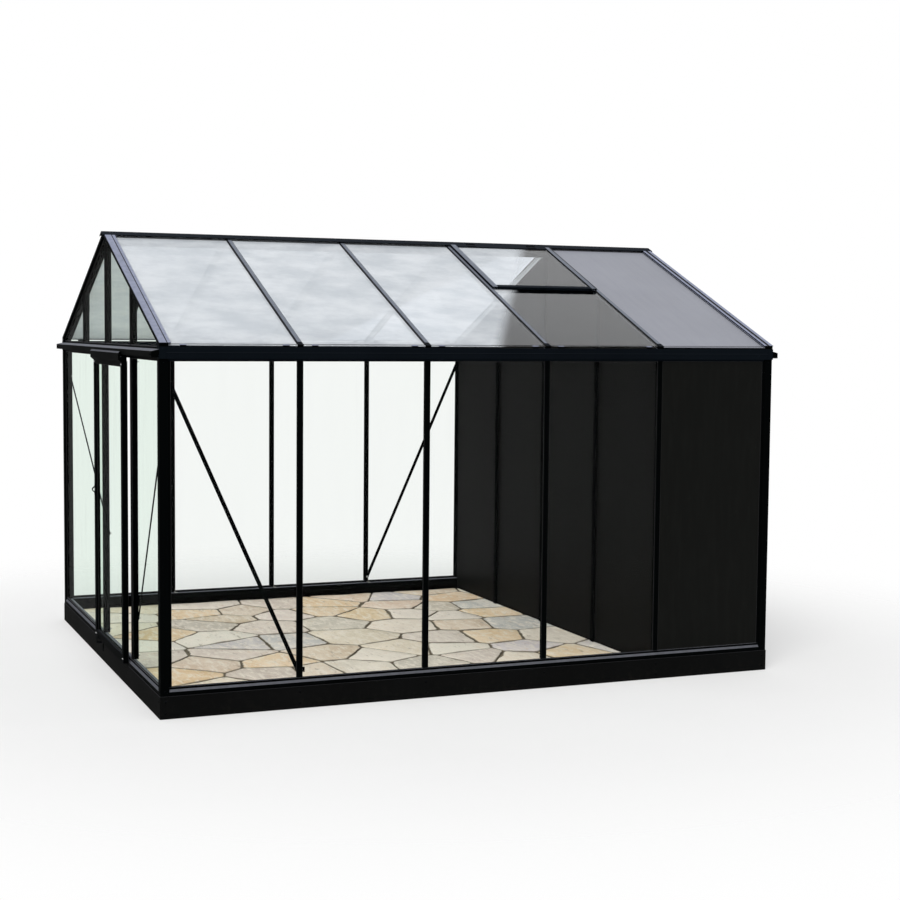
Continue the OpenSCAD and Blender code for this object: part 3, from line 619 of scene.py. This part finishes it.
# Bolts in the bars' channels, on the braces and on the gussets
INNER = -POST
BOLT_NEAR, BOLT_FAR, BOLT_HEAD = 0.022, 0.052, 0.016
BRACE_FOOT_Z, BRACE_HEAD_Z, BRACE_ROOM = 0.201, 1.835, 0.020
GABLE_BRACE_Z, NEAR_FOOT_Z, FAR_FOOT_Z = 1.700, 0.400, 0.780
BRACE_OFF, BRACE_T = 0.0306, 0.003
RAFTER_UNDER = 0.0317
GUSSET_BOLTS = ((0.006, -0.075), (0.006, -0.030), (0.055, -0.014), (0.030, -0.004))
GUSSET_BOLT_SIZE = 0.0048
frame_bolts = Piece()
for i in range(1, 5):
    for wall in (front, back):
        for z in (
            BAR_Z0 + BOLT_NEAR,
            BAR_Z0 + BOLT_FAR,
            BAR_Z1 - BOLT_FAR,
            BAR_Z1 - BOLT_HEAD,
        ):
            if abs(z - BRACE_FOOT_Z) > BRACE_ROOM:
                frame_bolts.bolt(wall, line_x(i), z, INNER, -1)
for u in (JAMB_NEAR, JAMB_FAR):
    for z in (BAR_Z0 + BOLT_NEAR, BAR_Z1 - BOLT_NEAR):
        frame_bolts.bolt(door_end, u, z, INNER, -1)
for i in range(1, 4):
    for z in (BAR_Z0 + BOLT_NEAR, BAR_Z1 - BOLT_NEAR):
        frame_bolts.bolt(store_end, line_u(i), z, INNER, -1)
BRACE_IN = INNER - BRACE_T
BRACE_END = HALF_W - BRACE_OFF
for wall, a, z in (
    (front, -HALF_L + BRACE_OFF, BRACE_HEAD_Z),
    (front, line_x(1), BRACE_FOOT_Z),
    (back, line_x(3), BRACE_FOOT_Z),
    (back, line_x(4), BRACE_HEAD_Z),
    (door_end, BRACE_END, GABLE_BRACE_Z),
    (door_end, JAMB_NEAR, NEAR_FOOT_Z),
    (door_end, -BRACE_END, GABLE_BRACE_Z),
    (door_end, JAMB_FAR, FAR_FOOT_Z),
):
    frame_bolts.bolt(wall, a, z, BRACE_IN, -1)
for wall in (door_end, store_end):
    for side in (-1, 1):
        under = RIDGE_Z - GABLE_BAY * TAN - RAFTER_UNDER / COS
        for du, dz in GUSSET_BOLTS:
            u = side * (GABLE_BAY + du)
            frame_bolts.bolt(wall, u, under + dz, BRACE_IN, -1, GUSSET_BOLT_SIZE)
frame_bolts.make("frame_bolts", zinc_mat, "frame", "zinc_steel")

# Small domed screws on the outside of the base, sills, posts and gable ledges
BASE_SCREWS_Z, BASE_SCREW_IN, BASE_PROUD = (0.030, 0.090), 0.026, 0.003
POST_SCREWS_Z, POST_SCREW_IN = (0.142, 1.858), 0.024
LEDGE_SCREW_Z, LEDGE_SCREWS_IN, LEDGE_PROUD = 1.904, (0.015, 0.038), 0.040
outer_screws = Piece()
for wall, half in ((front, HALF_L), (back, HALF_L), (door_end, HALF_W), (store_end, HALF_W)):
    for side in (-1, 1):
        for z in BASE_SCREWS_Z:
            outer_screws.screw(wall, side * (half - BASE_SCREW_IN), z, BASE_PROUD)
        for z in POST_SCREWS_Z:
            outer_screws.screw(wall, side * (half - POST_SCREW_IN), z, 0.0)
for wall in (front, back):
    for i in range(1, 5):
        for z in BASE_SCREWS_Z:
            outer_screws.screw(wall, line_x(i), z, BASE_PROUD)
for wall in (door_end, store_end):
    for side in (-1, 1):
        for off in LEDGE_SCREWS_IN:
            outer_screws.screw(wall, side * (HALF_W - off), LEDGE_SCREW_Z, LEDGE_PROUD)
outer_screws.make("outer_screws", coat_plain, "frame", "frame_black")

# Caps over the rafters' feet, on the eaves, and the clip at the front brace's foot
foot_caps = Piece()
nose = [
    (0.0010, -0.012),
    (0.0086, -0.016),
    (0.0086, 0.0090),
    (0.0055, 0.0096),
    (0.0010, 0.0066),
]
NOSE_HALF, SADDLE_HALF = 0.0165, 0.0155
SADDLE_RUN, SADDLE_LEVEL = (0.0092, 0.040), (0.0074, 0.0092)
SADDLE_SCREW, SADDLE_SCREW_R, SADDLE_SCREW_RISE = 0.026, 0.0042, 0.0018
for slope in (front_roof, back_roof):
    for i in range(1, 5):
        x = line_x(i)
        foot_caps.sweep(nose, slope, x - NOSE_HALF, x + NOSE_HALF)
        foot_caps.block(slope, (x - SADDLE_HALF, x + SADDLE_HALF), SADDLE_RUN, SADDLE_LEVEL)
        foot_caps.screw(
            slope, x, SADDLE_SCREW, SADDLE_LEVEL[1], SADDLE_SCREW_R, SADDLE_SCREW_RISE
        )
brace_x = line_x(1)
BRACE_CLIP_X = (brace_x + 0.0158, brace_x + 0.0420)
BRACE_CLIP_Z, BRACE_CLIP_IN = (0.186, 0.214), (-0.0545, -0.0515)
foot_caps.block(front, BRACE_CLIP_X, BRACE_CLIP_Z, BRACE_CLIP_IN)
foot_caps.make("rafter_foot_caps", coat_plain, "frame", "frame_black")

# Clips that stop the clear roof panes from sliding, two to a pane
CLIP_OFF, CLIP_HALF = 0.065, 0.018
clips = Piece()
hook = [
    (0.0110, 0.0042),
    (0.0110, 0.0054),
    (-0.0006, 0.0054),
    (-0.0014, 0.0046),
    (-0.0014, -0.0060),
    (0.0006, -0.0060),
    (0.0006, 0.0042),
]
for slope in (front_roof, back_roof):
    for i in range(4):
        left, right = bay_sides(i)
        for x in (left + CLIP_OFF, right - CLIP_OFF):
            clips.sweep(hook, slope, x - CLIP_HALF, x + CLIP_HALF)
clips.make("roof_glass_clips", coat_verge, "frame", "frame_black")

# End caps of the ridge bar
ridge_caps = Piece()
CAP_TOP, CAP_LOW, CAP_LIP, CAP_WEB = 0.0196, 0.0160, 0.004, 0.012
CAP_STEPS = ((0.008, 1.0), (0.0096, 1.0), (0.0104, 0.985))
half = [
    (0.0, CAP_TOP / COS),
    (WING * COS + CAP_TOP * SIN, CAP_TOP * COS - WING * SIN),
    (WING * COS + CAP_LOW * SIN, CAP_LOW * COS - WING * SIN - CAP_LIP),
]
outline = half + [(0.0, CAP_LOW / COS - CAP_WEB)] + [(-y, z) for y, z in reversed(half[1:])]
for side in (-1, 1):
    rings = []
    for out, k in CAP_STEPS:
        x = side * (HALF_L + out)
        rings.append([Vector((x, y * k, RIDGE_Z + z * k)) for y, z in outline])
    ridge_caps.rings(rings)
ridge_caps.make("ridge_end_caps", coat_gutter, "frame", "frame_black")

# Cover strips on the verges, with a dark groove between them; at the store end the dark strip is
# wider, as painted shade on the verge
verge_covers, verge_grooves_and_shade = Piece(), Piece()
VERGE_TOP = 0.0163
COVER_RISE, GROOVE_RISE = 0.0028, 0.0006
STRIP_TOP = SLOPE - 0.0075
COVER_FOOT, GROOVE_FOOT = -0.0050, -0.0030
OUTER_EDGE, DOOR_SPLIT, STORE_SHADE_SPLIT = 0.0004, 0.0385, 0.0250
INNER_STRIP, STRIP_GAP = (0.0431, 0.0612), 0.0001
for slope in (front_roof, back_roof):
    for side in (-1, 1):

        def verge(a, b, h, slope=slope, side=side):
            return slope(side * (HALF_L - a), b, h)

        # At the store end the dark strip is widened as painted shade on the verge; at the door end
        # it is a real groove
        split = DOOR_SPLIT if side < 0 else STORE_SHADE_SPLIT
        rise = (VERGE_TOP, VERGE_TOP + COVER_RISE)
        for strip in ((OUTER_EDGE, split), INNER_STRIP):
            verge_covers.block(verge, strip, (COVER_FOOT, STRIP_TOP), rise)
        rise = (VERGE_TOP, VERGE_TOP + GROOVE_RISE)
        dark_band = (split + STRIP_GAP, INNER_STRIP[0] - STRIP_GAP)
        verge_grooves_and_shade.block(verge, dark_band, (GROOVE_FOOT, STRIP_TOP), rise)
verge_covers.make("verge_covers", coat_verge, "frame", "frame_black")
verge_grooves_and_shade.make("verge_grooves_and_shade", rubber_mat, "frame", "frame_black")

# Pressed rib along the gutters' face, and covers at the gutters' ends
GUTTER_PROUD, RIB_PROUD, COVER_PROUD = 0.008, 0.0092, 0.0098
RIB_Z, RIB_HALF, RIB_FLAT, RIB_END = 1.9105, 0.003, 0.002, 0.001
COVER_Z, COVER_IN, COVER_OUT = (1.8805, 1.9418), 0.0345, 0.0005
rib = [
    (RIB_Z - RIB_HALF, GUTTER_PROUD),
    (RIB_Z - RIB_FLAT, RIB_PROUD),
    (RIB_Z + RIB_FLAT, RIB_PROUD),
    (RIB_Z + RIB_HALF, GUTTER_PROUD),
]
trim = Piece()
for wall in (front, back):
    trim.sweep(rib, wall, -HALF_L + RIB_END, HALF_L - RIB_END)
    for side in (-1, 1):
        a = sorted((side * (HALF_L - COVER_IN), side * (HALF_L + COVER_OUT)))
        trim.block(wall, a, COVER_Z, (GUTTER_PROUD, COVER_PROUD))
trim.make("gutter_trim", coat_gutter, "frame", "frame_black")

# Angle clips at the feet of the wall bars, on the sill's inner edge
FOOT_SIDE, FOOT_REACH, FOOT_T = 0.0085, 0.0300, 0.002
FOOT_Z, FOOT_TOP, FOOT_DEPTH = (0.1545, 0.1570), 0.1900, (-0.047, -0.022)
feet = Piece()
for wall, places in (
    (front, [line_x(i) for i in range(1, 5)]),
    (back, [line_x(i) for i in range(1, 5)]),
    (store_end, [line_u(i) for i in range(1, 4)]),
):
    for a in places:
        inner = a + FOOT_SIDE
        feet.block(wall, (inner, a + FOOT_REACH), FOOT_Z, FOOT_DEPTH)
        feet.block(wall, (inner, inner + FOOT_T), (FOOT_Z[1], FOOT_TOP), FOOT_DEPTH)
feet.make("bar_feet", zinc_mat, "frame", "zinc_steel")

# Hinges of the roof vent, under the ridge cap's wing
hinges = Piece()
HINGE_N = VENT_N + 0.016
HINGE_S = VENT_S[1]
HINGE_IN, HINGE_HALF = 0.14, 0.030
FLAP_RUN = (HINGE_S - 0.030, HINGE_S + 0.0005)
FLAP_LEVEL = (HINGE_N + 0.0001, HINGE_N + 0.0026)
PIN_S, PIN_N, PIN_R, PIN_SIDES = HINGE_S + 0.0035, HINGE_N + 0.0036, 0.0040, 10
KNUCKLES, KNUCKLE_L = (-0.029, -0.009, 0.011), 0.018
HINGE_SCREW_A, HINGE_SCREW_S = 0.018, HINGE_S - 0.016
SMALL_SCREW_R, SMALL_SCREW_RISE = 0.0036, 0.0016
knuckle = []
for k in range(PIN_SIDES):
    turn = 2 * math.pi * k / PIN_SIDES
    knuckle.append((PIN_S + PIN_R * math.cos(turn), PIN_N + PIN_R * math.sin(turn)))
for x in (VENT_X[0] + HINGE_IN, VENT_X[1] - HINGE_IN):
    hinges.block(front_roof, (x - HINGE_HALF, x + HINGE_HALF), FLAP_RUN, FLAP_LEVEL)
    for a in KNUCKLES:
        hinges.sweep(knuckle, front_roof, x + a, x + a + KNUCKLE_L)
    for a in (-HINGE_SCREW_A, HINGE_SCREW_A):
        hinges.screw(
            front_roof, x + a, HINGE_SCREW_S, FLAP_LEVEL[1], SMALL_SCREW_R, SMALL_SCREW_RISE
        )
hinges.make("vent_hinges", coat_plain, "frame", "frame_black")

# Door furniture: screws of the frame and handle, and seals on the stiles
SCREW_A, SCREW_B = STILE / 3, 2 * STILE / 3
RAIL_SCREW_R, RAIL_SCREW_RISE = 0.0040, 0.0018
HANDLE_Z, HANDLE_SCREW, HANDLE_T = 1.050, 0.0275, 0.004
leaf_screws = Piece()
for a in (-LEAF_Y1 + SCREW_A, -LEAF_Y1 + SCREW_B, -LEAF_Y0 - SCREW_A, -LEAF_Y0 - SCREW_B):
    for z in (LEAF_Z0 + FOOT_RAIL / 2, LEAF_Z1 - 0.8 * HEAD_RAIL):
        leaf_screws.screw(door_end, a, z, LEAF_OUT, RAIL_SCREW_R, RAIL_SCREW_RISE)
handle_a, handle_face = -LEAF_Y1 + STILE / 2, LEAF_OUT + HANDLE_T
for z in (HANDLE_Z - HANDLE_SCREW, HANDLE_Z + HANDLE_SCREW):
    leaf_screws.screw(door_end, handle_a, z, handle_face, SMALL_SCREW_R, SMALL_SCREW_RISE)
leaf_screws.make("leaf_screws", zinc_mat, "door", "zinc_steel")

seals = Piece()
SEAL_W, SEAL_IN, SEAL_END = 0.004, 0.006, 0.030
SEAL_DEPTH = (LEAF_OUT - 0.0325, LEAF_OUT - 0.028)
for a in (-LEAF_Y1 + SEAL_IN, -LEAF_Y0 - SEAL_IN - SEAL_W):
    seals.block(door_end, (a, a + SEAL_W), (LEAF_Z0 + SEAL_END, LEAF_Z1 - SEAL_END), SEAL_DEPTH)
seals.make("leaf_seals", rubber_mat, "door", "frame_black")

# Flagstones: seen stones by place and tone, the rest of the floor filled at random
TONES = {
    "pale": (0.97, 0.89, 0.78),
    "cream": (0.96, 0.82, 0.65),
    "light": (0.93, 0.84, 0.73),
    "ochre": (0.95, 0.69, 0.42),
    "tan": (0.82, 0.65, 0.48),
    "grey": (0.72, 0.64, 0.55),
    "blue": (0.68, 0.66, 0.65),
}
# Stones given in two enlarged crops: across and down in the crop, and tone.
# The crop's corner and zoom turn them into pixels of the photo.
LEFT_CORNER, LEFT_ZOOM = (160, 540), 1568 / 260
LEFT_STONES = (
    (180, 350, "pale"), (180, 400, "ochre"), (420, 385, "tan"), (640, 330, "grey"),
    (690, 415, "light"), (870, 325, "ochre"), (900, 385, "ochre"), (990, 272, "tan"),
    (1270, 275, "blue"), (1350, 335, "tan"), (1180, 415, "ochre"), (1400, 235, "tan"),
    (330, 445, "tan"), (250, 485, "grey"), (620, 500, "grey"), (1000, 475, "grey"),
    (320, 585, "pale"), (500, 625, "blue"), (780, 610, "blue"), (1150, 580, "cream"),
    (700, 730, "ochre"), (1010, 675, "tan"), (1330, 690, "light"), (1470, 650, "cream"),
    (1200, 765, "light"), (720, 800, "grey"), (930, 790, "cream"), (280, 740, "tan"),
    (440, 690, "grey"),
)
RIGHT_CORNER, RIGHT_ZOOM = (400, 540), 1568 / 280
RIGHT_STONES = (
    (320, 315, "blue"), (430, 370, "ochre"), (230, 400, "light"), (90, 325, "grey"),
    (320, 455, "tan"), (620, 450, "blue"), (500, 535, "ochre"), (280, 545, "grey"),
    (300, 600, "light"), (720, 595, "blue"), (440, 640, "grey"), (680, 650, "cream"),
    (920, 625, "ochre"), (160, 690, "grey"),
)
# Stones that both crops show, given in metres
BOTH_STONES = [(0.18, 0.28, "light"), (0.37, 0.80, "pale"), (0.87, 1.64, "ochre")]
FILL = ("pale", "cream", "light", "light", "ochre", "ochre", "tan", "grey", "blue")
BASE_IN = 0.0423
FLOOR_X, FLOOR_Y = HALF_L - BASE_IN, HALF_W - BASE_IN
BED_Z, STONE_TOP, FLOOR_TOP = 0.066, 0.0775, 0.0779
SPACING = 0.36


# Place on the floor of a pixel of the photo, to the centimetre
def on_floor(u, v):
    focal = LENS / SENSOR * PHOTO_SIDE
    across, rise = u - PHOTO_SIDE / 2, PHOTO_SIDE / 2 - v
    ray = side_axis * across + up_axis * rise - behind * focal
    spot = EYE + ray * ((FLOOR_H - EYE.z) / ray.z)
    return round(spot.x, 2), round(spot.y, 2)


picked = []
for corner, zoom, stones in (
    (LEFT_CORNER, LEFT_ZOOM, LEFT_STONES),
    (RIGHT_CORNER, RIGHT_ZOOM, RIGHT_STONES),
):
    for across, down, tone in stones:
        x, y = on_floor(corner[0] + across / zoom, corner[1] + down / zoom)
        picked.append((x, y, tone))

# The photo's floor recedes more than the building, so places behind the middle are drawn in
DEPTH_SHARE, DEPTH_CHANGE = 0.80, 0.06
EDGE_ROOM = 0.10
draw = random.Random(11)
seeds = []
for x, y, tone in sorted(BOTH_STONES + sorted(picked), key=lambda seen: seen[0]):
    if y > 0:
        y *= DEPTH_SHARE - DEPTH_CHANGE * (x + 1.0)
    seeds.append((x, y, tone))
for attempt in range(4000):
    x = draw.uniform(-FLOOR_X + EDGE_ROOM, FLOOR_X - EDGE_ROOM)
    y = draw.uniform(-FLOOR_Y + EDGE_ROOM, FLOOR_Y - EDGE_ROOM)
    if all(math.hypot(x - a, y - b) > SPACING for a, b, _ in seeds):
        seeds.append((x, y, draw.choice(FILL)))


def clip(poly, point, normal):
    out = []
    for p, q in zip(poly, poly[1:] + poly[:1]):
        a, b = (p - point).dot(normal), (q - point).dot(normal)
        if a <= 0:
            out.append(p)
        if a * b < 0:
            out.append(p + (q - p) * (a / (a - b)))
    return out


def rounded(poly, cut):
    out = []
    for p, q in zip(poly, poly[1:] + poly[:1]):
        out += [p.lerp(q, cut), p.lerp(q, 1 - cut)]
    return out


def divided(poly, step):
    out = []
    for p, q in zip(poly, poly[1:] + poly[:1]):
        count = max(1, round((q - p).length / step))
        out += [p.lerp(q, k / count) for k in range(count)]
    return out


floor_bm = bmesh.new()
tone_layer = floor_bm.verts.layers.float_color.new("tone")


def stone_ring(points, level, colour, clean):
    ring = []
    for p in points:
        v = floor_bm.verts.new((p.x, p.y, level(p)))
        v[tone_layer] = (*colour, clean)
        ring.append(v)
    return ring


def joined(low, high):
    for i in range(len(low)):
        j = (i + 1) % len(low)
        floor_bm.faces.new((low[i], low[j], high[j], high[i]))


for index, (x, y, tone) in enumerate(seeds):
    centre = Vector((x, y))
    cell = [Vector(c) for c in rectangle(-FLOOR_X, FLOOR_X, -FLOOR_Y, FLOOR_Y)]
    for a, b, _ in seeds:
        other = Vector((a, b))
        if 0 < (other - centre).length < 1.6:
            cell = clip(cell, (centre + other) / 2, (other - centre).normalized())
    cell = [p for p, q in zip(cell, cell[1:] + cell[:1]) if (p - q).length > 0.004]
    cell = [Vector(c) for c in inset(cell, draw.uniform(0.0015, 0.005))]
    cell = divided(rounded(cell, 0.055), 0.022)
    middle = sum(cell, Vector((0, 0))) / len(cell)
    shade = draw.uniform(0.90, 1.10)
    colour = [min(0.97, c * shade * draw.uniform(0.97, 1.03)) for c in TONES[tone]]
    lean = Vector((draw.uniform(-0.003, 0.003), draw.uniform(-0.003, 0.003)))
    drop = draw.uniform(0.0, 0.0012)
    edge = []
    for p in cell:
        ragged = noise.noise(Vector((p.x * 6, p.y * 6, index * 3.1))) * 0.015
        ragged += noise.noise(Vector((p.x * 34, p.y * 34, index * 5.3))) * 0.007
        edge.append(p + (p - middle).normalized() * (min(ragged, 0.001) - 0.001))

    def top(p, fall):
        wave = noise.noise(Vector((p.x * 7, p.y * 7, index * 1.7))) * 0.0010
        return min(FLOOR_TOP, STONE_TOP - drop - fall + lean.dot(p - middle) + wave)

    def shrunk(width, more):
        out = []
        for p in edge:
            way = (middle - p).normalized()
            out.append(p + way * (width + more * way.y * way.y))
        return out

    rings = [
        stone_ring(edge, lambda p: BED_Z - 0.004, colour, 0.0),
        stone_ring(edge, lambda p: top(p, 0.0050), colour, 0.0),
        stone_ring(shrunk(0.0015, 0.004), lambda p: top(p, 0.0018), colour, 0.25),
        stone_ring(shrunk(0.0045, 0.011), lambda p: top(p, 0.0), colour, 1.0),
        stone_ring([p.lerp(middle, 0.5) for p in edge], lambda p: top(p, -0.0004), colour, 1.0),
    ]
    for low, high in zip(rings, rings[1:]):
        joined(low, high)
    hub = stone_ring([middle], lambda p: top(p, -0.0004), colour, 1.0)[0]
    last = rings[-1]
    for i in range(len(last)):
        floor_bm.faces.new((last[i], last[(i + 1) % len(last)], hub))
bed_colour = (0.16, 0.135, 0.105)
bed = [Vector(c) for c in rectangle(-FLOOR_X, FLOOR_X, -FLOOR_Y, FLOOR_Y)]
bed_rings = [
    stone_ring(bed, lambda p: 0.0, bed_colour, 0.0),
    stone_ring(bed, lambda p: BED_Z, bed_colour, 0.0),
]
joined(*bed_rings)
floor_bm.faces.new(list(reversed(bed_rings[0])))
floor_bm.faces.new(bed_rings[1])
floor_mesh = bpy.data.meshes.new("flagstones")
floor_bm.to_mesh(floor_mesh)
floor_bm.free()
floor_mesh.materials.append(stone_mat)
floor_mesh.shade_smooth()
floor_mesh.set_sharp_from_angle(angle=math.radians(50))
flagstones = bpy.data.objects.new("flagstones", floor_mesh)
bpy.context.scene.collection.objects.link(flagstones)
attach(flagstones, "frame")
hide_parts("stone_floor")

# Studio floor, which fades into the white background
n = Nodes("studio_floor")
radius = n.add("ShaderNodeVectorMath", {0: n.place()}, operation="LENGTH").outputs["Value"]
tone = n.mix(n.noise(0.8, 2.0), (0.86, 0.86, 0.86), (0.90, 0.90, 0.90))
pale = n.add("ShaderNodeBsdfDiffuse", {"Color": tone})
white = n.add("ShaderNodeEmission", {"Color": (1.0, 1.0, 1.0, 1.0), "Strength": 1.0})
seen = path_ray(n, "Is Camera Ray", "Is Glossy Ray", "Is Transmission Ray")
lit = n.blend(n.math("MULTIPLY", seen, 0.35), pale, white)
gone = n.add("ShaderNodeBsdfTransparent")
floor_look = n.finish(n.blend(n.ramp(radius, 2.6, 5.2), lit, gone))
disc = bmesh.new()
bmesh.ops.create_circle(disc, cap_ends=True, segments=96, radius=5.4)
disc_mesh = bpy.data.meshes.new("studio_floor")
disc.to_mesh(disc_mesh)
disc.free()
disc_mesh.materials.append(floor_look)
studio_floor = bpy.data.objects.new("studio_floor", disc_mesh)
studio_floor.location.z = -0.0006
bpy.context.scene.collection.objects.link(studio_floor)

# World: soft light for the object, white for the eye and for reflections
world = bpy.data.worlds.new("studio")
bpy.context.scene.world = world
world.use_nodes = True
tree = world.node_tree
tree.nodes.clear()
path = tree.nodes.new("ShaderNodeLightPath")
most = tree.nodes.new("ShaderNodeMath")
most.operation = "MAXIMUM"
tree.links.new(path.outputs["Is Camera Ray"], most.inputs[0])
tree.links.new(path.outputs["Is Glossy Ray"], most.inputs[1])
both = tree.nodes.new("ShaderNodeMath")
both.operation = "MAXIMUM"
tree.links.new(most.outputs[0], both.inputs[0])
tree.links.new(path.outputs["Is Transmission Ray"], both.inputs[1])
soft = tree.nodes.new("ShaderNodeBackground")
soft.inputs["Color"].default_value = (0.97, 0.985, 1.0, 1.0)
soft.inputs["Strength"].default_value = 0.62
bright = tree.nodes.new("ShaderNodeBackground")
bright.inputs["Color"].default_value = (1.0, 1.0, 1.0, 1.0)
bright.inputs["Strength"].default_value = 1.0
pick = tree.nodes.new("ShaderNodeMixShader")
tree.links.new(both.outputs[0], pick.inputs[0])
tree.links.new(soft.outputs[0], pick.inputs[1])
tree.links.new(bright.outputs[0], pick.inputs[2])
world_out = tree.nodes.new("ShaderNodeOutputWorld")
tree.links.new(pick.outputs[0], world_out.inputs["Surface"])

# Key light: a broad soft source, high on the front left
key = bpy.data.lights.new("key", "SUN")
key.energy = 1.55
key.angle = math.radians(32)
key.color = (1.0, 0.985, 0.96)
key_lamp = bpy.data.objects.new("key", key)
key_lamp.rotation_euler = Vector((-0.45, -0.65, 1.0)).to_track_quat("Z", "Y").to_euler()
bpy.context.scene.collection.objects.link(key_lamp)

# Camera
view = bpy.data.cameras.new("view")
view.sensor_width = SENSOR
view.lens = LENS
view.clip_start, view.clip_end = 0.1, 100.0
camera = bpy.data.objects.new("view", view)
turn = Matrix((side_axis, up_axis, behind)).transposed()
camera.matrix_world = Matrix.Translation(EYE) @ turn.to_4x4()
bpy.context.scene.collection.objects.link(camera)
bpy.context.scene.camera = camera

bpy.context.scene.view_settings.view_transform = "Standard"

bpy.context.view_layer.update()
